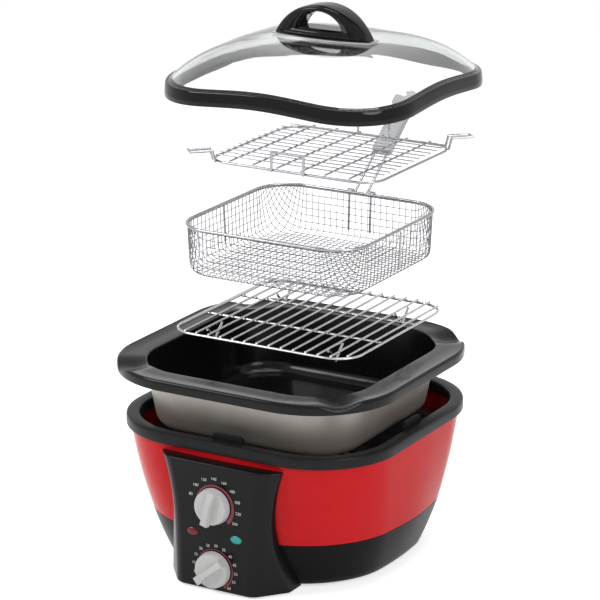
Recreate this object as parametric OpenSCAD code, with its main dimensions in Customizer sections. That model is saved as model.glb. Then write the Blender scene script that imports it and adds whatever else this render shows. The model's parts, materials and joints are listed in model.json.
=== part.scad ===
// Countertop multicooker: heated base, lift-out pan, two wire racks, frying basket and lift-off glass lid.
// Millimetres, +Z up, front towards -Y. The origin lies on the table under the middle of the well.
// Every rounded square shares one straight run, so a size given as "out" is the corner's radius.

/* [Shared] */
// Half of the straight run of every rounded square
core = 80; // [70:1:90]
// How far the loose pieces are lifted apart, from closed to as shown
apart = 1; // [0:0.05:1]
// Gap between a loose piece and its seat
seat_gap = 0.3; // [0.2:0.05:0.5]
// Radial clearance of a shaft in its bush
run_gap = 0.05; // [0.03:0.01:0.1]
// Gap between two pieces that are fixed side by side
fix_gap = 0.05; // [0.02:0.01:0.1]
// Direction in plan in which the lifted pieces fan out
fan_angle = 30; // [0:5:45]

/* [Base] */
// Corner radius of the rim's outside
rim_out = 110; // [106:1:116]
// Width of the rim
rim_w = 18; // [14:1:20]
// Height of the rim
rim_h = 14; // [10:1:18]
// Height of the rim's top above the table
rim_top = 193; // [185:1:205]
// Corner radius of the red band and the black tub at every height
body_corner = 104; // [100:1:105]
// Half width of the red band at its foot
band_foot_half = 165; // [160:1:168]
// Height of the red band's foot above the table
band_foot_z = 66; // [60:1:74]
// How far the red band bulges at mid height
band_bulge = 2; // [0:0.5:3]
// Half width of the black tub at its foot
shell_foot_half = 147; // [142:1:150]
// How far the base's sides bow out at the foot of the tub
bow_foot = 6; // [0:0.5:8]
// How far the base's sides bow out where the tub meets the band
bow_band = 12; // [0:0.5:14]
// How far the base's sides bow out under the rim
bow_rim = 4; // [0:0.5:5]
// Thickness of the band and the tub
wall = 3; // [2:0.5:4]
// Width of the ledge inside the tub that the bottom plate is screwed to
ledge_w = 16; // [12:1:20]
// Thickness of that ledge
ledge_t = 4; // [3:0.5:6]
// Thickness of the bottom plate
plate_t = 2.5; // [2:0.5:4]
// Height of the rubber foot ring
foot_h = 4; // [3:0.5:6]
// Radius of the rubber foot ring, to its middle
foot_r = 100; // [85:1:108]
// Width of the rubber foot ring
foot_w = 12; // [8:1:16]
// Radius of a bottom screw
screw_r = 2; // [1.5:0.25:2.5]
// Width of a pan support tab
tab_w = 46; // [36:1:56]
// Thickness of a pan support tab
tab_t = 4; // [3:0.5:5]
// Height of a pan support tab above the rim
tab_rise = 8; // [6:0.5:10]

/* [Control panel] */
// How far the panel's face stands in front of the red band's foot
panel_proud = 40.5; // [38:0.5:43]
// Height of the panel's top
panel_top = 171; // [168:1:174]
// Height of the panel's lower edge above the table
panel_foot = 2.5; // [1:0.5:5]
// Half width of the panel's flat face at its foot
face_foot = 55; // [52:1:58]
// Half width of the panel's flat face at its top
face_top = 72; // [66:1:76]
// Half width of the panel at its foot
panel_foot_half = 87.5; // [84:0.5:90]
// Half width of the panel at its waist
panel_waist = 72; // [70:1:74]
// Half width of the panel at its top
panel_half = 88.5; // [85:0.5:92]
// Height of the panel's waist
panel_waist_z = 94; // [86:1:100]
// How far the panel's flanks sweep back at its foot
flank_foot = 40; // [34:1:44]
// How far the panel's flanks sweep back from its waist up
flank_top = 18; // [15:1:20]
// Thickness of the panel
panel_t = 3; // [2:0.5:4]
// Height of the temperature knob's axis along the panel
dial_high = 117; // [110:1:122]
// Height of the timer knob's axis along the panel
dial_low = 32; // [30:1:38]
// Radius of a knob
knob_r = 24; // [20:1:26]
// Height of a knob's disc
knob_disc_h = 12; // [11:0.5:14]
// Height of a knob's finger bar
knob_bar_h = 20; // [17:0.5:24]
// Width of a knob's finger bar
knob_bar_w = 9; // [7:0.5:12]
// Gap between a knob and the panel
knob_gap = 0.8; // [0.5:0.1:1.5]
// Clock angle of the temperature knob's pointer at rest
temperature_rest = 195; // [180:5:210]
// Clock angle of the timer knob's pointer at rest
timer_rest = 230; // [200:5:240]
// Radius of a knob's shaft
shaft_r = 3; // [2.5:0.25:3.5]
// Radius of the threaded bush that a shaft turns in
bush_r = 5; // [4.5:0.25:6]
// Height of a panel nut
nut_h = 2.5; // [2:0.5:3]
// Radius of a panel nut over its corners
nut_r = 8; // [7:0.5:9]
// Distance of each indicator lens from the middle
lens_x = 32; // [28:1:36]
// Height of the lenses along the panel
lens_z = 77; // [70:1:80]
// Radius of a lens
lens_r = 4.5; // [3.5:0.5:6]
// Length of an indicator lamp
lamp_len = 14; // [10:1:18]
// Width of the thermostat and of the timer
control_w = 40; // [34:1:44]
// Height of the thermostat and of the timer
control_h = 38; // [34:1:40]
// Depth of the thermostat and of the timer
control_d = 18; // [15:1:20]

/* [Heating] */
// Gap between the pan's wall and the heat shield
shield_gap = 4; // [3:0.5:6]
// Thickness of the heat shield
shield_t = 1; // [0.8:0.1:1.5]
// Depth of the heat shield's floor under the pan
shield_drop = 20; // [18:1:26]
// Height of the heat shield's flange above the table
shield_top = 152; // [148:1:158]
// Radius of the heating element's ring, to its middle
element_r = 85; // [70:1:95]
// Radius of the heating element's tube
element_tube = 4; // [3:0.5:5]
// Angle left open between the heating element's ends
element_open = 30; // [20:5:50]
// Width of the clips under the heating element
clip_w = 12; // [8:1:16]
// Radius of the thermostat's bulb
bulb_r = 2.5; // [2:0.5:3]
// Length of the thermostat's bulb
bulb_len = 60; // [40:5:80]
// Radius of the thermostat's capillary tube
capillary_r = 1; // [0.8:0.1:1.5]
// Width of the terminal block
terminal_w = 44; // [34:1:54]
// Depth of the terminal block
terminal_d = 18; // [14:1:22]
// Height of the terminal block
terminal_h = 16; // [12:1:20]
// Radius of the wire loom
loom_r = 3; // [2:0.5:4]
// Width of the power inlet
inlet_w = 28; // [24:1:34]
// Height of the power inlet
inlet_h = 20; // [18:1:24]
// Depth of the power inlet
inlet_d = 24; // [20:1:28]
// Height of the power inlet's middle above the table
inlet_z = 34; // [32:1:38]
// Radius of an inlet pin
pin_r = 2; // [1.5:0.25:2.5]

/* [Pan] */
// Corner radius of the pan's outside
pan_out = 116; // [115:1:122]
// Corner radius of the pan's wall under its flange
pan_wall_out = 80; // [76:1:82]
// Thickness of the pan's wall
pan_wall = 3; // [2:0.5:4]
// Thickness of the pan's flange
flange_t = 3.5; // [3:0.5:5]
// Height of the skirt round the flange
skirt_h = 14; // [10:1:18]
// Thickness of that skirt
skirt_t = 3.2; // [2:0.2:3.6]
// Height of the lip on the flange
lip_h = 1.2; // [0.8:0.1:1.4]
// Width of the lip on the flange
lip_w = 5; // [4:0.5:7]
// Depth from the flange to the pan's floor
pan_depth = 86; // [80:1:90]
// Slope of the pan's wall, in degrees
pan_draft = 11; // [8:0.5:12]
// Radius of the bend between the pan's wall and floor
pan_bend = 20; // [14:1:24]
// Width of a pouring groove in a corner
spout_w = 70; // [60:1:76]
// Depth of a pouring groove
spout_d = 8; // [6:0.5:8]
// How far the pan is lifted, as shown
pan_lift = 60; // [40:1:70]
// How far the pan is moved sideways, as shown
pan_fan = -5; // [-5:1:0]

/* [Roast rack] */
// Half width of the roast rack
roast_half = 132; // [124:1:134]
// Corner radius of the roast rack
roast_corner = 35; // [28:1:42]
// Radius of the roast rack's frame wire
roast_wire = 1.75; // [1.5:0.25:2.25]
// Radius of a roast rack bar
roast_bar = 1.5; // [1:0.25:1.75]
// Number of bars across the roast rack
roast_bars = 15; // [11:2:17]
// Half of the span of those bars
roast_span = 124; // [112:1:124]
// Height of the roast rack's frame above the pan's floor
roast_leg_h = 20; // [18:1:22]
// Number of the bar that a leg hangs from, counted from the middle
roast_leg_bar = 5; // [3:1:6]
// Distance of each leg from the middle, along its bar
roast_leg_at = 88; // [80:1:96]
// Spread of a leg's two wires along the bar that they hang from
roast_leg_spread = 36; // [28:1:44]
// Radius of the round foot at a leg's tip
roast_foot = 2.4; // [2.2:0.1:3]
// How far the roast rack is lifted out of the pan, as shown
roast_lift = 108; // [100:1:125]
// How far the roast rack is moved sideways, as shown
roast_fan = 22; // [0:1:22]

/* [Basket] */
// Corner radius of the basket
basket_out = 49; // [47:1:51]
// Height of the basket's rim wire above its underside
basket_depth = 64; // [63.5:0.1:65]
// Thickness of the basket's mesh
mesh_t = 1.6; // [1.2:0.1:2]
// Width of a bar between two openings of the basket's mesh
mesh_bar = 3; // [2:0.5:4]
// Slope of the basket's wall, in degrees
basket_draft = 2.6; // [1:0.2:3]
// Radius of the bend between the basket's wall and floor
basket_bend = 12; // [8:1:18]
// Radius of the basket's rim wire
basket_wire = 2; // [1.5:0.25:2.25]
// Radius of a basket post
post_r = 1.5; // [1:0.25:2]
// Distance of each handle eye from the middle
eye_at = 16; // [15:1:22]
// Length of a handle eye
eye_len = 8; // [6:1:10]
// Outside radius of a handle eye
eye_r = 3.4; // [3.2:0.1:4]
// Radius of the handle's wire
neck_r = 1.75; // [1.5:0.25:1.75]
// Distance of each neck wire from the middle
neck_x = 9; // [7:0.5:9]
// Length of the handle's wire neck
neck_len = 68; // [64:1:80]
// Length of the handle's grip
grip_len = 100; // [80:1:120]
// Width of the handle's grip
grip_w = 28; // [24:1:34]
// Thickness of the handle's grip
grip_t = 12; // [9:0.5:14]
// Depth of the wire inside the grip
grip_socket = 22; // [15:1:30]
// Number of grooves across the grip
grip_grooves = 9; // [5:1:12]
// Angle of the handle above level, as shown
handle_tilt = 38; // [20:1:45]
// How far the basket is lifted off the roast rack, as shown
basket_lift = 68; // [55:1:80]
// How far the basket is moved sideways from the roast rack, as shown
basket_fan = 2; // [0:1:6]

/* [Grill rack] */
// Half width of the grill rack
grill_half_x = 120; // [112:1:120]
// Half depth of the grill rack
grill_half_y = 108; // [100:1:118]
// Corner radius of the grill rack
grill_corner = 30; // [24:1:36]
// Radius of the grill rack's frame wire
grill_wire = 1.75; // [1.5:0.25:2]
// Radius of a grill rack rib
grill_rib = 1.25; // [1:0.25:1.5]
// Number of ribs from front to back
grill_ribs = 6; // [4:1:8]
// Radius of a thin cross wire
grill_thin = 0.8; // [0.6:0.1:1]
// Number of thin cross wires
grill_thins = 13; // [9:1:15]
// Height of the corner handles above the rack
grip_rise = 13.5; // [12:0.5:15]
// Run of a corner handle's rising stretch
grip_run = 3.5; // [3:0.25:4]
// Run of a corner handle's level stretch
grip_level = 28; // [20:0.5:30]
// Half width of a corner handle
grip_half = 7; // [5:0.5:8]
// Width of a hoop on the rack's edge
hoop_w = 46; // [36:1:56]
// Height of a hoop on the rack's edge
hoop_h = 24; // [18:1:26]
// How far the grill rack is lifted off the basket, as shown
grill_lift = 92; // [80:1:104]
// How far the grill rack is moved sideways from the basket, as shown
grill_fan = 26; // [0:1:26]

/* [Lid] */
// Corner radius of the lid's rim
lid_out = 92; // [88:1:94]
// Width of the lid's rim
lid_rim_w = 14; // [10:1:14]
// Height of the lid's rim
lid_rim_h = 19; // [15:1:21]
// Rise of the rim at the middle of each side
lid_wave = 7; // [6:0.5:10]
// Height of the glass dome above the rim
dome_h = 47; // [42:1:55]
// Power of the dome's curve
dome_power = 4; // [3:0.1:5]
// Thickness of the glass
glass_t = 4; // [3:0.5:5]
// Width of the glass edge that stands on the rim
glass_edge = 8; // [6:0.5:10]
// Radius of the hole in the glass
glass_hole = 6; // [5:0.5:8]
// Length of the lid's handle
lid_grip_l = 136; // [120:1:144]
// Height of the lid's handle
lid_grip_h = 41; // [36:1:46]
// Width of the lid's handle at its middle
lid_grip_w = 38; // [32:1:44]
// Width of the lid's handle at its ends
lid_grip_end = 22; // [16:1:28]
// Length of the finger hole in the lid's handle
finger_l = 60; // [50:1:66]
// Height of the finger hole in the lid's handle
finger_h = 22; // [18:1:26]
// Height of the handle's foot under the finger hole
finger_z = 11; // [9:0.5:13]
// Thickness of the steel plate under the lid's handle
lid_plate_t = 2; // [1.5:0.25:3]
// How far the steel plate stands out round the lid's handle
lid_plate_edge = 3; // [2:0.5:5]
// Radius of the screw in the lid's handle
lid_screw_r = 2.5; // [2:0.25:3]
// Radius of the washer under the glass
lid_washer_r = 13; // [10:1:18]
// Thickness of the washer under the glass
lid_washer_t = 2; // [1.5:0.5:3]
// How far the lid is lifted off the grill rack, as shown
lid_lift = 78; // [65:1:90]
// How far the lid is moved sideways from the grill rack, as shown
lid_fan = -9; // [-10:1:0]

/* [Hidden] */
$fn = 64;

// Heights of the closed cooker
rim_foot = rim_top - rim_h;
ledge_z = foot_h + plate_t;
tab_top = rim_top + tab_rise;
pan_z = tab_top + seat_gap + flange_t;
pan_floor_z = pan_z - pan_depth;
pan_under_z = pan_floor_z - pan_wall;
roast_z = pan_floor_z + seat_gap + roast_leg_h;
bars_z = roast_z + roast_wire + roast_bar + fix_gap;
basket_z = bars_z + roast_bar + seat_gap;
basket_rim_z = basket_z + basket_depth;
grip_z = basket_rim_z + basket_wire + seat_gap + grill_wire;
grill_z = grip_z - grip_rise;
lid_z = pan_z + seat_gap;

// Lift of each piece from the closed cooker, summed up the stack
function lifted(height, fan) = apart * [fan * cos(fan_angle), fan * sin(fan_angle), height];
pan_at = lifted(pan_lift, pan_fan);
roast_at = pan_at + lifted(roast_lift, roast_fan);
basket_at = roast_at + lifted(basket_lift, basket_fan);
grill_at = basket_at + lifted(grill_lift, grill_fan);
lid_at = grill_at + lifted(lid_lift, lid_fan);

// Half width of the base at a height: its corners keep one radius while its sides lean in
band_top_half = core + body_corner;
band_slope = (band_top_half - band_foot_half + 4 * band_bulge) / (rim_foot - band_foot_z);
shell_drop = band_foot_z - foot_h;
shell_curve = (band_foot_half - shell_foot_half - band_slope * shell_drop) / pow(shell_drop, 2);
function band_share(z) = (z - band_foot_z) / (rim_foot - band_foot_z);
function band_half(z) = band_foot_half + (band_top_half - band_foot_half) * band_share(z)
    + 4 * band_bulge * band_share(z) * (1 - band_share(z));
function shell_half(z) = band_foot_half - band_slope * (band_foot_z - z)
    - shell_curve * pow(band_foot_z - z, 2);
function side_bow(z) = z < band_foot_z
    ? bow_foot + (bow_band - bow_foot) * max(0, z - foot_h) / shell_drop
    : bow_band + (bow_rim - bow_band) * band_share(z);
body_steps = 4;
shell_line = [for (i = [0:body_steps]) let (z = foot_h + shell_drop * i / body_steps) [shell_half(z), z]];
band_line = [for (i = [0:body_steps])
    let (z = band_foot_z + (rim_foot - band_foot_z) * i / body_steps) [band_half(z), z]];

// Stations once round a rounded square of a given half width and corner radius
corner_steps = 8;
function ring_points(half, corner, side_steps) = [for (quarter = [0:3])
    let (a = 90 * quarter, turn = [[cos(a), -sin(a)], [sin(a), cos(a)]], run = half - corner)
    for (p = concat(
        [for (i = [1:1:side_steps - 1]) [half, run * (2 * i / side_steps - 1)]],
        [for (i = [0:corner_steps]) [run + corner * cos(90 * i / corner_steps),
            run + corner * sin(90 * i / corner_steps)]])) turn * p];
// A level row of stations whose sides bow out most in their middle and not at all at the corners
side_steps = 6;
function level_row(half, corner, z, bow) = [for (p = ring_points(half, corner, side_steps))
    let (q = p * (1 + bow * pow(cos(2 * atan2(p[1], p[0])), 2) / norm(p))) [q[0], q[1], z]];

// Triangles between two neighbouring rows of points, the second row above the first on an outside
function row_faces(r, n, count) = [for (i = [0:count - 1])
    let (j = (i + 1) % count)
    each [[r * count + i, n * count + j, r * count + j], [r * count + i, n * count + i, n * count + j]]];

// Outline of a tapered tub's half section: floor, bend and wall, from the middle outwards
bend_steps = 4;
function tub_bend(out, draft, bend, r, z) = [for (i = [0:bend_steps])
    let (a = -90 + (90 - draft) * i / bend_steps)
    [out - bend / cos(draft) + r * cos(a), z + bend + r * sin(a)]];

// Distance of the panel's face in front of the middle
panel_y = band_foot_half + panel_proud;
// The panel's sides run straight back from here into the base
panel_back = 120;
control_reach = panel_t + control_d;
window_half = 48;
window_top = 138;
window_foot = 12;
// A pane cut is longer than the wall that it goes through
over = 1;
// A round corner keeps this far inside a wall that is made of short flats
flat_gap = 0.6;

module around(half = core) {
    for (turn = [0:90:270]) {
        rotate(turn) translate([half, half, 0]) rotate_extrude(angle = 90) children();
        rotate(turn) translate([half, half, 0]) rotate([90, 0, 0]) linear_extrude(2 * half) children();
    }
}

module middle(z, t, half = core) {
    translate([-half, -half, z]) cube([2 * half, 2 * half, t]);
}

module on_panel(x, z, out) {
    translate([0, -panel_y, 0]) rotate([90, 0, 0]) translate([x, z, out]) children();
}

// A round rod between two points
module rod(from, to, r) {
    run = to - from;
    translate(from) rotate([0, atan2(norm([run[0], run[1]]), run[2]), atan2(run[1], run[0])])
        cylinder(r = r, h = norm(run), $fn = 24);
}

// A round wire through a list of points, with bends and ends that are rounded a little fuller
module wire(path, r) {
    for (p = path) translate(p) sphere(r + fix_gap, $fn = 24);
    for (i = [1:len(path) - 1]) rod(path[i - 1], path[i], r);
}

// A closed loop of wire with round corners
module wire_loop(hx, hy, corner, r) {
    for (sx = [-1, 1], sy = [-1, 1])
        translate([sx * (hx - corner), sy * (hy - corner), 0])
            rotate(sy > 0 ? (sx > 0 ? 0 : 90) : (sx > 0 ? 270 : 180))
                rotate_extrude(angle = 90) translate([corner, 0]) circle(r, $fn = 24);
    for (s = [-1, 1]) {
        translate([s * hx, corner - hy, 0]) rotate([-90, 0, 0])
            cylinder(r = r, h = 2 * (hy - corner), $fn = 24);
        translate([corner - hx, s * hy, 0]) rotate([0, 90, 0])
            cylinder(r = r, h = 2 * (hx - corner), $fn = 24);
    }
}

// How far a bar at x reaches before it meets the middle of a rounded frame
function loop_reach(x, hx, hy, corner) =
    let (past = max(0, abs(x) - (hx - corner)))
    hy - corner + sqrt(max(0, corner * corner - past * past));

// A closed ring of triangles through rows of points, each row going once round
module ring_skin(rows) {
    count = len(rows[0]);
    polyhedron(points = [for (row = rows) each row],
        faces = [for (r = [0:len(rows) - 1]) each row_faces(r, (r + 1) % len(rows), count)]);
}

// A wall of the base along a line of half widths and heights
module body_wall(line) {
    ring_skin(concat(
        [for (p = line) level_row(p[0], body_corner, p[1], side_bow(p[1]))],
        [for (i = [len(line) - 1:-1:0]) let (p = line[i])
            level_row(p[0] - wall, body_corner - wall, p[1], side_bow(p[1]))]));
}

// A solid through level rows of points, closed below and above
module row_block(rows) {
    count = len(rows[0]);
    polyhedron(points = [for (row = rows) each row],
        faces = concat([for (r = [0:len(rows) - 2]) each row_faces(r, r + 1, count)],
            [[for (i = [0:count - 1]) i], [for (i = [count - 1:-1:0]) (len(rows) - 1) * count + i]]));
}

// The solid inside the base's outside, grown a little, that the control panel is cut to fit
module body_block(grow) {
    line = concat([[shell_foot_half, -over]], shell_line, [for (i = [1:body_steps]) band_line[i]]);
    row_block([for (p = line) level_row(p[0] + grow, body_corner + grow, p[1], side_bow(p[1]))]);
}

module control_window() {
    translate([-window_half, -core - rim_out, window_foot])
        cube([2 * window_half, core + rim_out - shell_foot_half + wall + over, window_top - window_foot]);
}

module inlet_block(grow, from, depth) {
    translate([-inlet_w / 2 - grow, from, inlet_z - inlet_h / 2 - grow])
        cube([inlet_w + 2 * grow, depth, inlet_h + 2 * grow]);
}
inlet_rim = 3;
// Thickness of the inlet's back, and how far its pins stay below its face
inlet_back = 6;
pin_short = 4;
inlet_high = inlet_z + inlet_h / 2 + inlet_rim;
inlet_face = shell_half(inlet_high) + side_bow(inlet_high) + fix_gap;
inlet_y = inlet_face - inlet_d;

module screw_places() {
    place = shell_foot_half - wall - ledge_w / 2;
    for (turn = [0:90:270]) rotate(turn) translate([place, 0, 0]) children();
}

// The ledge inside the tub, rooted in the middle of the tub's wall
module shell_ledge() {
    root = wall / 2;
    edge = wall + ledge_w;
    top = ledge_z + ledge_t;
    ring_skin([
        level_row(shell_half(ledge_z) - root, body_corner - root, ledge_z, side_bow(ledge_z)),
        level_row(shell_half(top) - root, body_corner - root, top, side_bow(top)),
        level_row(shell_foot_half - edge, body_corner - edge, top, 0),
        level_row(shell_foot_half - edge, body_corner - edge, ledge_z, 0)]);
}

module base_shell() {
    color([0.15, 0.14, 0.15]) difference() {
        union() {
            body_wall(shell_line);
            shell_ledge();
        }
        control_window();
        inlet_block(fix_gap, core, rim_out);
        screw_places() translate([0, 0, ledge_z - over]) cylinder(r = screw_r, h = ledge_t + 2 * over);
    }
}

module red_band() {
    color([0.8, 0.13, 0.15]) difference() {
        body_wall(band_line);
        control_window();
    }
}

module rim_ring() {
    edge = 4;
    color([0.17, 0.17, 0.18]) around() polygon([
        [rim_out - rim_w, rim_foot], [rim_out - edge / 2, rim_foot], [rim_out, rim_foot + edge / 2],
        [rim_out, rim_top - edge], [rim_out - edge / 3, rim_top - edge / 3], [rim_out - edge, rim_top],
        [rim_out - rim_w + edge / 2, rim_top], [rim_out - rim_w, rim_top - edge / 2]]);
}

module pan_supports() {
    color([0.12, 0.12, 0.13]) for (turn = [0:90:270])
        rotate(turn) translate([core + rim_out - rim_w - fix_gap, 0, rim_foot]) rotate([0, -90, 0])
            linear_extrude(tab_t) difference() {
                translate([0, -tab_w / 2]) square([tab_top - rim_foot, tab_w]);
                for (s = [-1, 1]) translate([rim_h, s * tab_w / 2]) scale_corner(s);
            }
}

// The waste outside the round shoulder of a pan support tab
module scale_corner(s) {
    difference() {
        translate([0, s > 0 ? -tab_rise : 0]) square([tab_rise + over, tab_rise]);
        translate([0, -s * tab_rise]) circle(tab_rise);
    }
}

module base_plate() {
    color([0.2, 0.2, 0.2]) difference() {
        row_block([for (z = [foot_h, foot_h + plate_t])
            level_row(shell_foot_half - wall - flat_gap, body_corner - wall - flat_gap, z, bow_foot)]);
        screw_places() translate([0, 0, foot_h - over]) cylinder(r = screw_r, h = plate_t + 2 * over);
    }
}

module foot_ring() {
    color([0.08, 0.08, 0.08]) difference() {
        cylinder(r = foot_r + foot_w / 2, h = foot_h);
        translate([0, 0, -over]) cylinder(r = foot_r - foot_w / 2, h = foot_h + 2 * over);
    }
}

module base_screws() {
    head = 1.6;
    color("silver") screw_places() translate([0, 0, foot_h - head]) {
        cylinder(r = 2 * screw_r, h = head);
        cylinder(r = screw_r, h = head + plate_t + ledge_t + over);
    }
}

// The panel narrows to a waist: 0 at the waist, 1 at its foot and top
panel_curve = 1.8;
function panel_swell(z) = z < panel_waist_z
    ? pow((panel_waist_z - z) / (panel_waist_z - panel_foot), panel_curve)
    : pow((z - panel_waist_z) / (panel_top - panel_waist_z), panel_curve);
function panel_side(z) = panel_waist
    + ((z < panel_waist_z ? panel_foot_half : panel_half) - panel_waist) * panel_swell(z);
function face_side(z) = face_foot + (face_top - face_foot) * pow(z / panel_top, 3);
function flank_run(z) = flank_top + (z < panel_waist_z ? (flank_foot - flank_top) * panel_swell(z) : 0);

// Outline of the panel at a height, set in by a wall: right of the face, right flank, back, left flank
function panel_row(z, inset, back) =
    let (slant = atan2(flank_run(z), panel_side(z) - face_side(z)),
        face = [face_side(z) - inset * tan(slant / 2), inset - panel_y],
        flank = [panel_side(z) - inset, flank_run(z) - panel_y + inset * tan((90 - slant) / 2)])
    [[face[0], face[1], z], [flank[0], flank[1], z], [flank[0], -back, z],
     [-flank[0], -back, z], [-flank[0], flank[1], z], [-face[0], face[1], z]];

panel_steps = 9;
module panel_block(inset, back) {
    low = panel_foot + inset;
    high = panel_top - inset;
    row_block([for (i = [0:panel_steps]) panel_row(low + (high - low) * i / panel_steps, inset, back)]);
}

module control_panel() {
    color([0.16, 0.15, 0.16]) difference() {
        panel_block(0, panel_back);
        panel_block(panel_t, panel_back - over);
        body_block(fix_gap);
        for (z = [dial_high, dial_low])
            on_panel(0, z, -panel_t - over) cylinder(r = bush_r, h = panel_t + 2 * over);
        for (x = [-lens_x, lens_x])
            on_panel(x, lens_z, -panel_t - over) cylinder(r = lens_r, h = panel_t + 2 * over);
    }
}

module lens(x) {
    rise = 1.2;
    on_panel(x, lens_z, -panel_t) cylinder(r = lens_r, h = panel_t);
    on_panel(x, lens_z, 0) cylinder(r1 = lens_r + rise, r2 = lens_r, h = rise);
}

module lamp(x) {
    on_panel(x, lens_z, -panel_t - lamp_len) cylinder(r = lens_r - run_gap, h = lamp_len);
}

module power_lens() { color([0.55, 0.08, 0.12]) lens(-lens_x); }

module ready_lens() { color([0.15, 0.6, 0.55]) lens(lens_x); }

module power_lamp() { color([0.9, 0.7, 0.6]) lamp(-lens_x); }

module ready_lamp() { color([0.8, 0.9, 0.85]) lamp(lens_x); }

// The nut's threaded bush stands a little above the nut
bush_top = nut_h + 1;
// A shaft runs this far into its control, and this far into its knob
shaft_in = 10;
shaft_out = knob_disc_h - 1;

module control(z) {
    difference() {
        union() {
            on_panel(-control_w / 2, z - control_h / 2, -control_reach) cube([control_w, control_h, control_d]);
            on_panel(0, z, -panel_t) cylinder(r = bush_r, h = panel_t + bush_top);
        }
        on_panel(0, z, -panel_t - shaft_in - seat_gap)
            cylinder(r = shaft_r + run_gap, h = shaft_in + panel_t + bush_top + seat_gap + over);
    }
}

module shaft(z) {
    on_panel(0, z, -panel_t - shaft_in) cylinder(r = shaft_r, h = panel_t + shaft_in + knob_gap + shaft_out);
}

module knob(z, clock) {
    hollow = bush_top + 1;
    on_panel(0, z, knob_gap) rotate(-clock) difference() {
        union() {
            cylinder(r1 = knob_r, r2 = knob_r - 2, h = knob_disc_h);
            intersection() {
                cylinder(r1 = knob_r + 1, r2 = knob_r - 3, h = knob_bar_h);
                translate([-knob_bar_w / 2, -knob_r, 0]) cube([knob_bar_w, 2 * knob_r + over, knob_bar_h]);
            }
        }
        translate([0, 0, -over]) cylinder(r = nut_r + 2, h = hollow + over);
        cylinder(r = shaft_r, h = shaft_out);
    }
}

module panel_nuts() {
    color("silver") for (z = [dial_high, dial_low]) on_panel(0, z, 0) difference() {
        cylinder(r = nut_r, h = nut_h, $fn = 6);
        translate([0, 0, -over]) cylinder(r = bush_r, h = nut_h + 2 * over);
    }
}

module thermostat_body() { color([0.75, 0.72, 0.66]) control(dial_high); }

module timer_body() { color([0.85, 0.85, 0.82]) control(dial_low); }

module temperature_knob() { color([0.75, 0.75, 0.75]) knob(dial_high, temperature_rest); }

module timer_knob() { color([0.75, 0.75, 0.75]) knob(dial_low, timer_rest); }

module temperature_shaft() { color("silver") shaft(dial_high); }

module timer_shaft() { color("silver") shaft(dial_low); }

// The heat shield follows the pan's wall at a constant gap
pan_slope = tan(pan_draft);
function pan_wall_at(z) = pan_wall_out + pan_slope * (z - pan_z + flange_t);
shield_z = pan_under_z - shield_drop;
shield_foot = pan_wall_at(shield_z) + shield_gap;
shield_head = pan_wall_at(shield_top) + shield_gap;
// The flange's corners reach the band's wall, whose corners are sharper
shield_out = (band_half(shield_top - shield_t) - body_corner - core) * sqrt(2) + body_corner - wall - flat_gap;
element_z = pan_under_z - seat_gap - element_tube;
bulb_x = 12;
bulb_z = shield_z + shield_t + bulb_r + 1;
bulb_wall = 30;
bulb_y = core + shield_foot - bulb_wall;
// Distance of the capillary's rising stretch from the thermostat's back
capillary_bend = 8;
// Length of an element's end below the shield
element_tail = 14;

module heat_shield() {
    color([0.7, 0.7, 0.72]) difference() {
        union() {
            around() polygon([
                [0, shield_z], [shield_foot + shield_t, shield_z], [shield_head + shield_t, shield_top - shield_t],
                [shield_out, shield_top - shield_t], [shield_out, shield_top],
                [shield_head, shield_top], [shield_foot, shield_z + shield_t], [0, shield_z + shield_t]]);
            middle(shield_z, shield_t);
        }
        for (s = [-1, 1]) rotate(90 + s * element_open / 2)
            translate([element_r, 0, shield_z - over]) cylinder(r = element_tube, h = shield_t + 2 * over);
        translate([bulb_x, -band_top_half, bulb_z]) rotate([-90, 0, 0])
            cylinder(r = capillary_r + run_gap, h = body_corner);
    }
}

module heating_element() {
    color([0.45, 0.45, 0.47]) translate([0, 0, element_z]) {
        rotate(90 + element_open / 2) rotate_extrude(angle = 360 - element_open)
            translate([element_r, 0]) circle(element_tube, $fn = 32);
        for (s = [-1, 1]) rotate(90 + s * element_open / 2) translate([element_r, 0, 0]) {
            sphere(element_tube, $fn = 32);
            translate([0, 0, shield_z - element_z - element_tail])
                cylinder(r = element_tube, h = element_z - shield_z + element_tail);
        }
    }
}

clip_turns = [-30, 210, 232];

module element_clips() {
    color([0.6, 0.6, 0.62]) for (turn = clip_turns)
        rotate(turn) translate([element_r - clip_w / 2, -clip_w / 2, shield_z + shield_t])
            cube([clip_w, clip_w, element_z - element_tube - fix_gap - shield_z - shield_t]);
}

// Distance of a control's back in front of the middle
control_back = panel_y - control_reach;

module thermostat_bulb() {
    rise = capillary_bend - control_back;
    end = capillary_r + fix_gap - control_back;
    color([0.72, 0.45, 0.3]) {
        translate([bulb_x, bulb_len - bulb_y, bulb_z]) rotate([90, 0, 0]) cylinder(r = bulb_r, h = bulb_len);
        wire([[bulb_x, over - bulb_y, bulb_z], [bulb_x, rise, bulb_z], [bulb_x, rise, dial_high],
              [bulb_x, end, dial_high]], capillary_r);
    }
}

terminal_y = element_r;

module terminal_block() {
    color([0.9, 0.9, 0.86]) translate([-terminal_w / 2, terminal_y - terminal_d / 2, ledge_z])
        cube([terminal_w, terminal_d, terminal_h]);
}

module wire_loom() {
    low = ledge_z + loom_r + fix_gap;
    start = terminal_y - terminal_d / 2 - loom_r - fix_gap;
    turn = shell_foot_half - wall - ledge_w - 2 * loom_r;
    end = control_back - loom_r - seat_gap;
    color([0.6, 0.1, 0.1])
        wire([[0, start, low], [0, -turn, low], [0, -turn, dial_low], [0, -end, dial_low]], loom_r);
}

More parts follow.
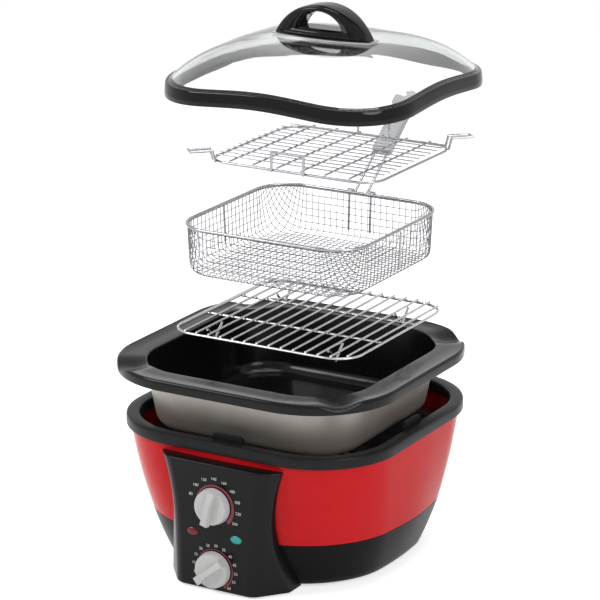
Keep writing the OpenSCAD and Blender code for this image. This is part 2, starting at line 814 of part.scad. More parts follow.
module power_inlet() {
    socket = inlet_d - inlet_back;
    color([0.1, 0.1, 0.1]) difference() {
        union() {
            inlet_block(0, inlet_y, inlet_d + over);
            inlet_block(inlet_rim, inlet_face, inlet_rim);
        }
        inlet_block(-inlet_rim, inlet_face - socket, socket + inlet_rim + over);
    }
}

module inlet_pins() {
    color("silver") for (x = [-1, 0, 1])
        translate([x * inlet_w / 4, inlet_y + inlet_back, inlet_z + (x == 0 ? pin_r : -pin_r)]) rotate([-90, 0, 0])
            cylinder(r = pin_r, h = inlet_d - inlet_back - pin_short, $fn = 24);
}

// Section of the pan, with its flange's top at zero
skirt_in = pan_out - skirt_t;
pan_foot_out = pan_wall_out - pan_slope * (pan_depth + pan_wall - pan_bend - flange_t);
pan_section = concat(
    [[0, -pan_depth - pan_wall]],
    tub_bend(pan_foot_out, pan_draft, pan_bend, pan_bend, -pan_depth - pan_wall),
    [[pan_wall_out, -flange_t], [skirt_in, -flange_t], [skirt_in, lip_h - skirt_h],
     [pan_out - 1, lip_h - skirt_h], [pan_out, lip_h - skirt_h + 1], [pan_out, lip_h - 2.5],
     [pan_out - 1.2, lip_h - 0.6], [pan_out - 2.5, lip_h], [pan_out - lip_w + 1, lip_h],
     [pan_out - lip_w - 1, 0], [pan_wall_out - pan_wall + 2, 0], [pan_wall_out - pan_wall, -2]],
    [for (p = [0:bend_steps]) tub_bend(pan_foot_out, pan_draft, pan_bend, pan_bend - pan_wall,
        -pan_depth - pan_wall)[bend_steps - p]],
    [[0, -pan_depth]]);

// The round of a pouring groove, whose floor lies spout_d below the flange
spout_r = (pow(spout_w / 2, 2) + pow(spout_d + lip_h, 2)) / (2 * (spout_d + lip_h));

// A rod out over each corner of the pan, with its underside a little below the groove's floor
module corner_rods(below) {
    for (turn = [45:90:315]) rotate(turn)
        translate([core * sqrt(2) + pan_wall_out - 3 * pan_wall, 0, spout_r - spout_d])
            rotate([0, 90, 0]) cylinder(r = spout_r + below, h = pan_out, $fn = 96);
}

// The troughs under the pouring grooves, between the pan's wall and its skirt
module spout_troughs() {
    inside = pan_wall_out - 0.7 * pan_wall;
    outside = pan_out - skirt_t / 2;
    intersection() {
        corner_rods(pan_wall);
        around() polygon([[inside, -skirt_h], [outside, -skirt_h], [outside, -flange_t / 2], [inside, -flange_t / 2]]);
    }
}

module pan() {
    color([0.2, 0.19, 0.19]) translate(pan_at + [0, 0, pan_z]) difference() {
        union() {
            around() polygon(pan_section);
            middle(-pan_depth - pan_wall, pan_wall);
            spout_troughs();
        }
        corner_rods(0);
    }
}

module roast_frame() {
    color([0.75, 0.75, 0.76]) translate(roast_at + [0, 0, roast_z])
        wire_loop(roast_half, roast_half, roast_corner, roast_wire);
}

bar_pitch = 2 * roast_span / (roast_bars - 1);

module roast_legs() {
    foot = [0, 0, roast_foot - roast_leg_h];
    color([0.75, 0.75, 0.76]) translate(roast_at + [0, 0, roast_z])
        for (sx = [-1, 1], sy = [-1, 1]) translate([sx * roast_leg_bar * bar_pitch, sy * roast_leg_at, 0]) {
            translate(foot) sphere(roast_foot, $fn = 24);
            for (s = [-1, 1]) rod([0, s * roast_leg_spread / 2, 0], foot, roast_wire);
        }
}

module roast_bars() {
    color([0.78, 0.78, 0.79]) translate(roast_at + [0, 0, bars_z])
        for (i = [0:roast_bars - 1]) {
            x = -roast_span + bar_pitch * i;
            reach = loop_reach(x, roast_half, roast_half, roast_corner) + roast_wire;
            translate([x, -reach, 0]) rotate([-90, 0, 0]) cylinder(r = roast_bar, h = 2 * reach, $fn = 24);
        }
}

module roast_cross_wires() {
    reach = roast_half - roast_wire - fix_gap;
    color([0.75, 0.75, 0.76]) translate(roast_at + [0, 0, roast_z])
        for (y = [-roast_half / 3, roast_half / 3]) translate([-reach, y, 0]) rotate([0, 90, 0])
            cylinder(r = roast_wire, h = 2 * reach, $fn = 24);
}

// Section of the basket's mesh, with its underside at zero
basket_slope = tan(basket_draft);
mesh_top = basket_depth - basket_wire - fix_gap;
basket_foot_out = basket_out - basket_slope * (basket_depth - basket_bend);
basket_rim_out = basket_out - mesh_t / 2;
mesh_section = concat(
    [[0, 0]],
    tub_bend(basket_foot_out, basket_draft, basket_bend, basket_bend, 0),
    [[basket_out, mesh_top], [basket_out - mesh_t, mesh_top]],
    [for (p = [0:bend_steps]) tub_bend(basket_foot_out, basket_draft, basket_bend, basket_bend - mesh_t,
        0)[bend_steps - p]],
    [[0, mesh_t]]);

// Lines of the bars between the mesh's openings, with a bar behind each post
mesh_edge = core + 0.6 * basket_foot_out;
mesh_half_x = [eye_at, (eye_at + core) / 2, core, mesh_edge];
mesh_half_y = [core / 3, core * 2 / 3, core, mesh_edge];
mesh_lines_x = concat([for (i = [3:-1:0]) -mesh_half_x[i]], mesh_half_x);
mesh_lines_y = concat([for (i = [3:-1:0]) -mesh_half_y[i]], [0], mesh_half_y);
mesh_sill = mesh_t + 1;
mesh_head = mesh_top - 1;
mesh_lines_z = [mesh_sill, (mesh_sill + mesh_head) / 2, mesh_head];
corner_panes = 3;
pane_turn = 90 / corner_panes;
pane_w = 2 * basket_foot_out * sin(pane_turn / 2) - mesh_bar;

// A block between two lines of bars in each direction, which leaves half a bar on each side
module pane(low, high) {
    half = [mesh_bar / 2, mesh_bar / 2, mesh_bar / 2];
    translate(low + half) cube(high - low - 2 * half);
}

module mesh_panes() {
    reach = core + basket_out + mesh_bar;
    for (i = [1:len(mesh_lines_x) - 1], j = [1:len(mesh_lines_y) - 1])
        pane([mesh_lines_x[i - 1], mesh_lines_y[j - 1], -mesh_bar],
            [mesh_lines_x[i], mesh_lines_y[j], basket_bend]);
    for (k = [1:len(mesh_lines_z) - 1]) {
        low = mesh_lines_z[k - 1];
        high = mesh_lines_z[k];
        for (i = [2:len(mesh_lines_x) - 2])
            pane([mesh_lines_x[i - 1], -reach, low], [mesh_lines_x[i], reach, high]);
        for (j = [2:len(mesh_lines_y) - 2])
            pane([-reach, mesh_lines_y[j - 1], low], [reach, mesh_lines_y[j], high]);
        for (turn = [0:90:270], p = [0:corner_panes - 1])
            rotate(turn) translate([core, core, 0]) rotate(pane_turn * (p + 0.5))
                pane([basket_foot_out - basket_bend, -(pane_w + mesh_bar) / 2, low],
                    [basket_out + 2 * mesh_bar, (pane_w + mesh_bar) / 2, high]);
    }
}

module basket_mesh() {
    color([0.72, 0.73, 0.75, 0.5]) translate(basket_at + [0, 0, basket_z]) difference() {
        union() {
            around() polygon(mesh_section);
            middle(0, mesh_t);
        }
        mesh_panes();
    }
}

module basket_rim() {
    half = core + basket_rim_out;
    color([0.75, 0.75, 0.76]) translate(basket_at + [0, 0, basket_rim_z])
        wire_loop(half, half, basket_rim_out, basket_wire);
}

module basket_posts() {
    stand = basket_out + post_r / cos(basket_draft) + fix_gap;
    head = basket_depth - basket_wire - fix_gap;
    foot = basket_bend;
    color([0.6, 0.6, 0.62]) translate(basket_at + [0, 0, basket_z])
        for (place = [[0, 0], [180, 0], [90, eye_at], [90, -eye_at]])
            rotate(place[0]) translate([core, place[1], 0])
                translate([stand - basket_slope * (basket_depth - foot), 0, foot]) rotate([0, basket_draft, 0])
                    cylinder(r = post_r, h = (head - foot) / cos(basket_draft) - post_r, $fn = 24);
}

pivot_y = core + basket_rim_out + basket_wire + eye_r + fix_gap;
pivot_at = basket_at + [0, pivot_y, basket_rim_z];

module basket_eyes() {
    color([0.7, 0.7, 0.71]) translate(pivot_at)
        for (s = [-1, 1]) translate([s * eye_at - eye_len / 2, 0, 0]) rotate([0, 90, 0]) difference() {
            cylinder(r = eye_r, h = eye_len);
            translate([0, 0, -over]) cylinder(r = neck_r + run_gap, h = eye_len + 2 * over);
        }
}

module on_handle() {
    translate(pivot_at) rotate([apart * handle_tilt, 0, 0]) children();
}

module handle_wire() {
    color([0.75, 0.75, 0.76]) on_handle() for (s = [-1, 1]) {
        translate([s * neck_x, 0, 0]) sphere(neck_r, $fn = 24);
        translate([s * neck_x, 0, 0]) rotate([0, s * 90, 0])
            cylinder(r = neck_r, h = eye_at + eye_len / 2 + over - neck_x);
        translate([s * neck_x, 0, 0]) rotate([-90, 0, 0]) cylinder(r = neck_r, h = neck_len + grip_socket);
    }
}

module grip_outline() {
    round = grip_t / 3;
    square([grip_w - 2 * round, grip_t], center = true);
    square([grip_w, grip_t - 2 * round], center = true);
    for (sx = [-1, 1], sy = [-1, 1])
        translate([sx * (grip_w / 2 - round), sy * (grip_t / 2 - round)]) circle(round);
}

module handle_grip() {
    groove = 1.2;
    pitch = grip_len / (grip_grooves + 3);
    color([0.62, 0.63, 0.65]) on_handle() difference() {
        translate([0, neck_len, 0]) rotate([-90, 0, 0]) linear_extrude(grip_len) grip_outline();
        for (s = [-1, 1]) translate([s * neck_x, neck_len - over, 0]) rotate([-90, 0, 0])
            cylinder(r = neck_r, h = grip_socket + over);
        for (i = [2:grip_grooves + 1], s = [-1, 1])
            translate([s * grip_w / 2 - groove, neck_len + i * pitch, -grip_t / 2 - over])
                cube([2 * groove, pitch / 3, grip_t + 2 * over]);
    }
}

module grill_frame() {
    color([0.75, 0.75, 0.76]) translate(grill_at + [0, 0, grill_z])
        wire_loop(grill_half_x, grill_half_y, grill_corner, grill_wire);
}

ribs_z = grill_z + grill_wire + grill_rib + fix_gap;

module grill_ribs() {
    color([0.74, 0.74, 0.75]) translate(grill_at + [0, 0, ribs_z])
        for (i = [1:grill_ribs]) {
            x = -grill_half_x + 2 * grill_half_x * i / (grill_ribs + 1);
            reach = loop_reach(x, grill_half_x, grill_half_y, grill_corner);
            translate([x, -reach, 0]) rotate([-90, 0, 0]) cylinder(r = grill_rib, h = 2 * reach, $fn = 24);
        }
}

module grill_wires() {
    color([0.76, 0.76, 0.77]) translate(grill_at + [0, 0, ribs_z + grill_rib + grill_thin + fix_gap])
        for (i = [1:grill_thins]) {
            y = -grill_half_y + 2 * grill_half_y * i / (grill_thins + 1);
            reach = loop_reach(y, grill_half_y, grill_half_x, grill_corner) - grill_wire;
            translate([-reach, y, 0]) rotate([0, 90, 0]) cylinder(r = grill_thin, h = 2 * reach, $fn = 24);
        }
}

// A loop of wire that rises from each of two opposite corners of the frame
module grill_handles() {
    corner = [grill_half_x - grill_corner, grill_half_y - grill_corner, 0];
    start = sqrt(pow(grill_corner + 2 * grill_wire + fix_gap, 2) - pow(grip_half, 2));
    bend = start + grip_run;
    color([0.75, 0.75, 0.76]) translate(grill_at + [0, 0, grill_z])
        for (turn = [0, 180]) rotate(turn) translate(corner) rotate(45) {
            wire([[bend, -grip_half, grip_rise], [bend + grip_level, -grip_half, grip_rise],
                  [bend + grip_level, grip_half, grip_rise], [bend, grip_half, grip_rise]], grill_wire);
            for (s = [-1, 1]) {
                translate([start, s * grip_half, 0]) sphere(grill_wire, $fn = 24);
                rod([start, s * grip_half, 0], [bend, s * grip_half, grip_rise], grill_wire - fix_gap);
            }
        }
}

module grill_hoops() {
    stand = grill_half_y + 2 * grill_wire + fix_gap;
    color([0.75, 0.75, 0.76]) translate(grill_at + [0, 0, grill_z])
        for (turn = [0, 180]) rotate(turn) {
            wire([[-hoop_w / 2, -stand, 0], [-hoop_w / 2, -stand, hoop_h],
                  [hoop_w / 2, -stand, hoop_h], [hoop_w / 2, -stand, 0]], grill_wire);
        }
}

// How the lid's rim rises at a point: most at the middle of each side, nothing at a corner
lid_side_steps = 8;
function lid_points(out) = ring_points(core + out, out, lid_side_steps);
function wave(p) = lid_wave * (1 + cos(4 * atan2(p[1], p[0]))) / 2;

module lid_rim() {
    lid_in = lid_out - lid_rim_w;
    section = [[lid_in + 2, 0], [lid_out - 3, 0], [lid_out - 1, 1.5], [lid_out, 5], [lid_out - 2, lid_rim_h - 3],
        [lid_out - 6, lid_rim_h], [lid_in + 2, lid_rim_h], [lid_in, lid_rim_h - 2], [lid_in, 2]];
    color([0.08, 0.07, 0.07]) translate(lid_at + [0, 0, lid_z])
        ring_skin([for (s = section) [for (p = lid_points(s[0])) [p[0], p[1], s[1] + wave(p)]]]);
}

// Height of the dome at a share of the way from the middle to its edge
function dome_z(share, edge) = lid_rim_h + fix_gap + dome_h * (1 - pow(share, dome_power))
    + wave(edge) * pow(share, 3);
dome_shares = [1, 0.97, 0.93, 0.87, 0.79, 0.68, 0.54, 0.38, 0.2];
glass_out = lid_out - lid_rim_w + glass_edge;

function dome_row(out, share, drop) = [for (p = lid_points(out))
    [p[0] * share, p[1] * share, dome_z(share, p) - drop]];
function hole_row(drop) = [for (p = lid_points(glass_out))
    let (a = atan2(p[1], p[0])) [glass_hole * cos(a), glass_hole * sin(a), dome_z(0, p) - drop]];

module lid_glass() {
    inside = glass_out - glass_t;
    color([0.9, 0.95, 0.95, 0.35]) translate(lid_at + [0, 0, lid_z])
        ring_skin(concat(
            [for (share = dome_shares) dome_row(glass_out, share, 0)],
            [hole_row(0), hole_row(glass_t)],
            [for (i = [len(dome_shares) - 1:-1:1]) dome_row(inside, dome_shares[i], glass_t)],
            [dome_row(inside, 1, 0)]));
}

dome_top = lid_z + lid_rim_h + fix_gap + dome_h;
plate_at = lid_at + [0, 0, dome_top + fix_gap];

// Plan of the lid's handle: wide in the middle, narrow at its ends
module grip_plan(grow) {
    half = lid_grip_l / 2 + grow;
    mid = lid_grip_w / 2 + grow;
    bow = mid - lid_grip_end / 2;
    r = (half * half + bow * bow) / (2 * bow);
    intersection() {
        square([2 * half, 2 * mid], center = true);
        translate([0, r - mid]) circle(r, $fn = 128);
        translate([0, mid - r]) circle(r, $fn = 128);
    }
}

// A circle's segment of a given length and height, standing on the x axis
module segment(l, h) {
    r = (l * l / 4 + h * h) / (2 * h);
    intersection() {
        translate([0, h - r]) circle(r, $fn = 128);
        translate([-l, 0]) square([2 * l, h]);
    }
}

module lid_handle_plate() {
    color([0.8, 0.8, 0.81]) translate(plate_at) difference() {
        linear_extrude(lid_plate_t) grip_plan(lid_plate_edge);
        translate([0, 0, -over]) cylinder(r = lid_screw_r + run_gap, h = lid_plate_t + 2 * over);
    }
}

module lid_handle() {
    hold = finger_z - 3;
    color([0.06, 0.06, 0.06]) translate(plate_at + [0, 0, lid_plate_t]) difference() {
        intersection() {
            linear_extrude(lid_grip_h) grip_plan(0);
            translate([0, lid_grip_w, 0]) rotate([90, 0, 0]) linear_extrude(2 * lid_grip_w)
                segment(lid_grip_l, lid_grip_h);
        }
        translate([0, lid_grip_w, finger_z]) rotate([90, 0, 0]) linear_extrude(2 * lid_grip_w)
            segment(finger_l, finger_h);
        translate([0, 0, -over]) cylinder(r = lid_screw_r, h = hold + over);
    }
}

module lid_screw() {
    head = 3;
    under = plate_at[2] - fix_gap - glass_t - lid_washer_t - fix_gap;
    color("silver") translate([lid_at[0], lid_at[1], under]) {
        translate([0, 0, -head]) cylinder(r = 2 * lid_screw_r, h = head);
        cylinder(r = lid_screw_r, h = plate_at[2] - under + lid_plate_t + finger_z - 4);
    }
}

module lid_washer() {
    color([0.1, 0.1, 0.1]) translate(plate_at - [0, 0, 2 * fix_gap + glass_t + lid_washer_t]) difference() {
        cylinder(r = lid_washer_r, h = lid_washer_t);
        translate([0, 0, -over]) cylinder(r = lid_screw_r + run_gap, h = lid_washer_t + 2 * over);
    }
}

base_shell();
red_band();
rim_ring();
pan_supports();
base_plate();
foot_ring();
base_screws();
control_panel();
power_lens();
ready_lens();
power_lamp();
ready_lamp();
panel_nuts();
thermostat_body();
thermostat_bulb();
timer_body();
heat_shield();
heating_element();
element_clips();
terminal_block();
wire_loom();
power_inlet();
inlet_pins();
temperature_knob();
temperature_shaft();
timer_knob();
timer_shaft();
pan();
roast_frame();
roast_legs();
roast_bars();
roast_cross_wires();
basket_mesh();
basket_rim();
basket_posts();
basket_eyes();
handle_wire();
handle_grip();
grill_frame();
grill_ribs();
grill_wires();
grill_handles();
grill_hoops();
lid_rim();
lid_glass();
lid_handle();
lid_handle_plate();
lid_screw();
lid_washer();
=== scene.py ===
"""Countertop multicooker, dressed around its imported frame: metres, +Z up, control panel towards -Y."""

import json
import math

import bmesh
import bpy
from mathutils import Matrix, Vector


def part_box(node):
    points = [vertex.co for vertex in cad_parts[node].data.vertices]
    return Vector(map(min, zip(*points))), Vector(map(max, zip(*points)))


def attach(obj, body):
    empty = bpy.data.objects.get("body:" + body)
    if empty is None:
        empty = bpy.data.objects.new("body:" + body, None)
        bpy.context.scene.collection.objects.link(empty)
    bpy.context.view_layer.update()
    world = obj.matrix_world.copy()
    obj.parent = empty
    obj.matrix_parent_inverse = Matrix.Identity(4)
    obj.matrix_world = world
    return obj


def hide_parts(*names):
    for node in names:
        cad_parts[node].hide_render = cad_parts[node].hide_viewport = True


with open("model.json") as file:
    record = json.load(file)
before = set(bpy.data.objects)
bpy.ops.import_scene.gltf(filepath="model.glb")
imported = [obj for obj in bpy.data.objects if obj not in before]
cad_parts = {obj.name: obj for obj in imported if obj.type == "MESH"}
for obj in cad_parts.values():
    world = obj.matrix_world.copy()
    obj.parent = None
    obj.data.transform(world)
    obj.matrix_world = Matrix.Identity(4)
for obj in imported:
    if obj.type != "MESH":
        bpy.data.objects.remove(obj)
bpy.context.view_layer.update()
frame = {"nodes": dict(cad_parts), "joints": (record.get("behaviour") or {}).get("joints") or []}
joints = {joint["name"]: joint for joint in frame["joints"]}
MM = 0.001

# Camera and studio
# A long lens stands in front of the cooker's right corner and looks a little down on it. The pale
# sweep and the bright surround stand in for a photographer's white table and paper.
CAMERA_AZIMUTH = math.radians(30)
CAMERA_REACH = 3.804
CAMERA_HEIGHT = 1.508
AIM_HEIGHT = 0.332
SENSOR = 36
FOCAL_SHARE = 5.15
SHIFT = 4 / 600
FAR = 50


def aim_at(thing, spot):
    """Puts a camera or lamp at a place and turns it to the middle of the object."""
    thing.location = spot
    thing.rotation_euler = (Vector((0, 0, AIM_HEIGHT)) - thing.location).to_track_quat("-Z", "Y").to_euler()
    bpy.context.scene.collection.objects.link(thing)


camera_data = bpy.data.cameras.new("camera")
camera_data.sensor_width = SENSOR
camera_data.lens = SENSOR * FOCAL_SHARE
camera_data.shift_x = SHIFT
camera_data.clip_end = FAR
camera = bpy.data.objects.new("camera", camera_data)
camera_x = CAMERA_REACH * math.sin(CAMERA_AZIMUTH)
camera_y = -CAMERA_REACH * math.cos(CAMERA_AZIMUTH)
aim_at(camera, (camera_x, camera_y, CAMERA_HEIGHT))
bpy.context.scene.camera = camera
bpy.context.scene.view_settings.view_transform = "Standard"


def linear(code):
    """An sRGB hex colour as linear RGBA."""
    parts = [int(code[i:i + 2], 16) / 255 for i in (1, 3, 5)]
    return [c / 12.92 if c <= 0.04045 else ((c + 0.055) / 1.055) ** 2.4 for c in parts] + [1]


def add(tree, kind, inputs=None, **settings):
    """A node with its settings; an input is a value, or another node's output to link."""
    node = tree.nodes.new(kind)
    for name, value in settings.items():
        setattr(node, name, value)
    for name, value in (inputs or {}).items():
        if isinstance(value, bpy.types.NodeSocket):
            tree.links.new(value, node.inputs[name])
        else:
            node.inputs[name].default_value = value
    return node


def new_material(name, **shader_inputs):
    """A material with a Principled shader; returns it with its tree, shader and object coordinates."""
    made = bpy.data.materials.new(name)
    made.use_nodes = True
    tree = made.node_tree
    shader = tree.nodes["Principled BSDF"]
    for key, value in shader_inputs.items():
        shader.inputs[key.replace("_", " ").title().replace("Ior", "IOR")].default_value = value
    return made, tree, shader, add(tree, "ShaderNodeTexCoord").outputs["Object"]


def shown(tree):
    """Is 1 where the camera sees a thing, also in a mirror or through glass, and 0 for the light it gives."""
    rays = add(tree, "ShaderNodeLightPath").outputs
    mirrored = {0: rays["Is Glossy Ray"], 1: rays["Is Transmission Ray"]}
    by_way = add(tree, "ShaderNodeMath", mirrored, operation="MAXIMUM")
    either = {0: rays["Is Camera Ray"], 1: by_way.outputs[0]}
    return add(tree, "ShaderNodeMath", either, operation="MAXIMUM").outputs[0]


world = bpy.data.worlds.new("studio")
bpy.context.scene.world = world
world.use_nodes = True
sky = world.node_tree
AMBIENT = 0.26
strength = add(sky, "ShaderNodeMapRange", {"Value": shown(sky), "To Min": AMBIENT, "To Max": 1})
sky.nodes["Background"].inputs["Color"].default_value = (1, 1, 1, 1)
sky.links.new(strength.outputs["Result"], sky.nodes["Background"].inputs["Strength"])

# Matt paper: lit evenly, and brightened for the camera so that it stays pale under the shadow
paper, tree, shader, place = new_material("matt_paper", roughness=0.9)
shader.inputs["Base Color"].default_value = linear("#f4f4f4")
PAPER_LIFT = 0.6
glow = add(tree, "ShaderNodeMath", {0: shown(tree), 1: PAPER_LIFT}, operation="MULTIPLY")
shader.inputs["Emission Color"].default_value = (1, 1, 1, 1)
tree.links.new(glow.outputs[0], shader.inputs["Emission Strength"])

FLOOR_RADIUS = 3.2
FLOOR_STEPS = 96
shape = bmesh.new()
bmesh.ops.create_circle(shape, cap_ends=True, segments=FLOOR_STEPS, radius=FLOOR_RADIUS)
floor_mesh = bpy.data.meshes.new("floor")
shape.to_mesh(floor_mesh)
shape.free()
floor_mesh.materials.append(paper)
floor = bpy.data.objects.new("floor", floor_mesh)
bpy.context.scene.collection.objects.link(floor)

# Soft boxes: place, size across and power in watts
SOFT_BOXES = {
    "left_box": ((-1.9, -1.7, 2.1), 1.3, 52),
    "right_box": ((2.6, -1.2, 1.7), 1.5, 40),
    "top_box": ((0.2, 0.3, 3.2), 2.0, 48),
}
for name, (spot, width, power) in SOFT_BOXES.items():
    lamp_data = bpy.data.lights.new(name, "AREA")
    lamp_data.shape = "DISK"
    lamp_data.size = width
    lamp_data.energy = power
    aim_at(bpy.data.objects.new(name, lamp_data), spot)

# Lower tub
# The black tub is moulded ABS with a fine spark-eroded grain. It stands on the rubber ring, carries
# the red band on its top edge and is closed from below by the screwed plate.
CORE = 80 * MM
BODY_CORNER = 104 * MM
WALL = 3 * MM
CORNER_STEPS = 24
SHARP = math.radians(32)
NEAR = 0.01 * MM


def rounded_loop(mesh, row, cuts):
    """Edges of a level rounded rectangle, given as half width, half depth, corner radius and height."""
    half_x, half_y, corner, z = row
    made = bmesh.ops.create_grid(mesh, x_segments=1, y_segments=1, size=1)
    bmesh.ops.scale(mesh, vec=(half_x, half_y, 1), verts=made["verts"])
    bmesh.ops.translate(mesh, vec=(0, 0, z), verts=made["verts"])
    rounded = bmesh.ops.bevel(mesh, geom=made["verts"], offset=corner, offset_type="OFFSET",
                              affect="VERTICES", segments=CORNER_STEPS, profile=0.5, material=-1)
    face = rounded["verts"][0].link_faces[0]
    edges = list(face.edges)
    bmesh.ops.delete(mesh, geom=[face], context="FACES_ONLY")
    if cuts:
        longest = max(e.calc_length() for e in edges)
        sides = [e for e in edges if e.calc_length() > longest / 2]
        edges = [e for e in edges if e.calc_length() <= longest / 2]
        split = bmesh.ops.subdivide_edges(mesh, edges=sides, cuts=cuts)["geom_split"]
        edges += [g for g in split if isinstance(g, bmesh.types.BMEdge)]
    return edges


def carried(value, half, corner, new_half, new_corner):
    """A coordinate on one rounded outline, moved to its place on another."""
    run, new_run = half - corner, new_half - new_corner
    past = abs(value) - run
    moved = new_run + past * new_corner / corner if past > 0 else abs(value) * new_run / run
    return math.copysign(moved, value)


def loft(mesh, rows, cuts=0, closed=False):
    """Skin through rounded rectangles, ring by ring; returns each ring's points and each strip's faces."""
    edges = rounded_loop(mesh, rows[0], cuts)
    rings = [list({v for e in edges for v in e.verts})]
    strips = []
    for old, new in zip(rows, rows[1:] + (rows[:1] if closed else [])):
        grown = bmesh.ops.extrude_edge_only(mesh, edges=edges)["geom"]
        edges = [g for g in grown if isinstance(g, bmesh.types.BMEdge)]
        rings.append([g for g in grown if isinstance(g, bmesh.types.BMVert)])
        strips.append([e.link_faces[0] for e in edges])
        for v in rings[-1]:
            v.co = (carried(v.co.x, old[0], old[2], new[0], new[2]),
                    carried(v.co.y, old[1], old[2], new[1], new[2]), new[3])
    if closed:
        met = bmesh.ops.find_doubles(mesh, verts=rings[0] + rings.pop(), keep_verts=rings[0], dist=NEAR)
        bmesh.ops.weld_verts(mesh, targetmap=met["targetmap"])
    return rings, strips


def make_piece(name, mesh, finishes, body, replaced=()):
    """Turns a bmesh into a smooth-shaded piece that rides on a body."""
    bmesh.ops.recalc_face_normals(mesh, faces=mesh.faces)
    for face in mesh.faces:
        face.smooth = True
    for edge in mesh.edges:
        edge.smooth = len(edge.link_faces) == 2 and edge.calc_face_angle() < SHARP
    data = bpy.data.meshes.new(name)
    mesh.to_mesh(data)
    mesh.free()
    for finish in finishes:
        data.materials.append(finish)
    piece = bpy.data.objects.new(name, data)
    bpy.context.scene.collection.objects.link(piece)
    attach(piece, body)
    if replaced:
        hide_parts(*replaced)


def dress(finish, *nodes):
    """Gives carried-over CAD nodes a finish."""
    for node in nodes:
        for material_slot in frame["nodes"][node].material_slots:
            material_slot.material = finish


def mottle(tree, shader, place, span, detail, first, second):
    """Base colour that drifts between two hex colours in patches of a given size."""
    patches = add(tree, "ShaderNodeTexNoise", {"Vector": place, "Scale": 1 / span, "Detail": detail})
    ends = {"Factor": patches.outputs["Fac"], "A": linear(first), "B": linear(second)}
    tint = add(tree, "ShaderNodeMix", ends, data_type="RGBA")
    tree.links.new(tint.outputs["Result"], shader.inputs["Base Color"])


def dimple(tree, shader, place, span, detail, strength, depth):
    """Relief of dimples of a given size and depth."""
    dimples = add(tree, "ShaderNodeTexNoise", {"Vector": place, "Scale": 1 / span, "Detail": detail})
    relief = {"Height": dimples.outputs["Fac"], "Strength": strength, "Distance": depth}
    bump = add(tree, "ShaderNodeBump", relief)
    tree.links.new(bump.outputs["Normal"], shader.inputs["Normal"])


# Moulded ABS: a satin black whose grain of about half a millimetre is drawn at 1.5 mm so that it shows
GRAIN = 1.5 * MM
abs_black, tree, shader, place = new_material("moulded_abs_black", roughness=0.3, specular_ior_level=0.06)
mottle(tree, shader, place, 40 * MM, 3, "#0c0b0c", "#131213")
dimple(tree, shader, place, GRAIN, 2, 0.12, 0.2 * MM)

tub_low, tub_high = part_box("base_shell")
band_low, band_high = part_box("red_band")
FOOT_HALF = 147 * MM
band_foot_half, band_top_half = 165 * MM, CORE + BODY_CORNER
BULGE = 2 * MM
band_slope = (band_top_half - band_foot_half + 4 * BULGE) / (band_high.z - band_low.z)
tub_drop = tub_high.z - tub_low.z
tub_curve = (band_foot_half - FOOT_HALF - band_slope * tub_drop) / tub_drop ** 2


def tub_half(z):
    """Half width of the tub at a height."""
    down = tub_high.z - z
    return band_foot_half - band_slope * down - tub_curve * down ** 2


# How far the sides bow out at the foot of the tub, where the tub meets the band and under the rim
BOW_FOOT, BOW_BAND, BOW_RIM = 6 * MM, 12 * MM, 4 * MM
SIDE_CUTS = 9


def bowed(x, y, z):
    """A point of the base's plain outline after its sides bow out, most in their middle."""
    if z < tub_high.z:
        bow = BOW_FOOT + (BOW_BAND - BOW_FOOT) * max(0, z - tub_low.z) / tub_drop
    else:
        bow = BOW_BAND + (BOW_RIM - BOW_BAND) * (z - tub_high.z) / (band_high.z - tub_high.z)
    push = 1 + bow * math.cos(2 * math.atan2(y, x)) ** 2 / math.hypot(x, y)
    return Vector((x * push, y * push, z))


def wall_round(outer, inner):
    """A bowed wall of the base, from the rows of its outer and inner skins as half widths and heights."""
    mesh = bmesh.new()
    rows = [(half, half, BODY_CORNER, z) for half, z in outer]
    rows += [(half, half, BODY_CORNER - WALL, z) for half, z in inner]
    loft(mesh, rows, SIDE_CUTS, closed=True)
    for v in mesh.verts:
        v.co = bowed(*v.co)
    return mesh


FOOT_ROUND, FOOT_EASE = 3 * MM, 0.9 * MM
TUB_ROWS = 8
start = tub_half(tub_low.z)
outer = [(start - FOOT_ROUND, tub_low.z), (start - FOOT_EASE, tub_low.z + FOOT_EASE)]
levels = [tub_low.z + FOOT_ROUND + (tub_drop - FOOT_ROUND) * i / TUB_ROWS for i in range(TUB_ROWS + 1)]
outer += [(tub_half(z), z) for z in levels]
inner = [(max(half - WALL, FOOT_HALF - WALL - FOOT_ROUND), z) for half, z in reversed(outer)]
make_piece("lower_tub", wall_round(outer, inner), [abs_black], "base", ["base_shell"])
dress(abs_black, "base_plate")

# Rubber ring and bottom screws
# A moulded rubber ring under the plate keeps the cooker from sliding. Zinc-plated screws hold the plate.
# Moulded rubber: dull black, chalky in small patches
rubber, tree, shader, place = new_material("moulded_rubber", roughness=0.8)
mottle(tree, shader, place, 6 * MM, 4, "#121212", "#242424")
dress(rubber, "foot_ring", "lid_washer")

# Plated steel: pale grey metal with faint drawing marks
plated_steel, tree, shader, place = new_material("zinc_plated_steel", metallic=1, roughness=0.32)
mottle(tree, shader, place, 3 * MM, 3, "#b4b4b2", "#cbcbca")
dress(plated_steel, "base_screws", "panel_nuts", "temperature_shaft", "timer_shaft", "element_clips",
      "inlet_pins", "lid_screw", "lid_handle_plate")

# Red band
# A glossy band of lacquered ABS is clamped between the tub and the rim. Its sides lean out towards the
# top and bulge a little.
# Lacquered ABS: a deep glossy red with the faint waviness of sprayed lacquer, about 4 mm long
lacquer, tree, shader, place = new_material("lacquered_abs_red", roughness=0.08, specular_ior_level=0.07)
mottle(tree, shader, place, 25 * MM, 2, "#bd181d", "#c91c21")
dimple(tree, shader, place, 4 * MM, 1, 0.03, 0.3 * MM)

BAND_ROWS = 10
EDGE = 0.8 * MM


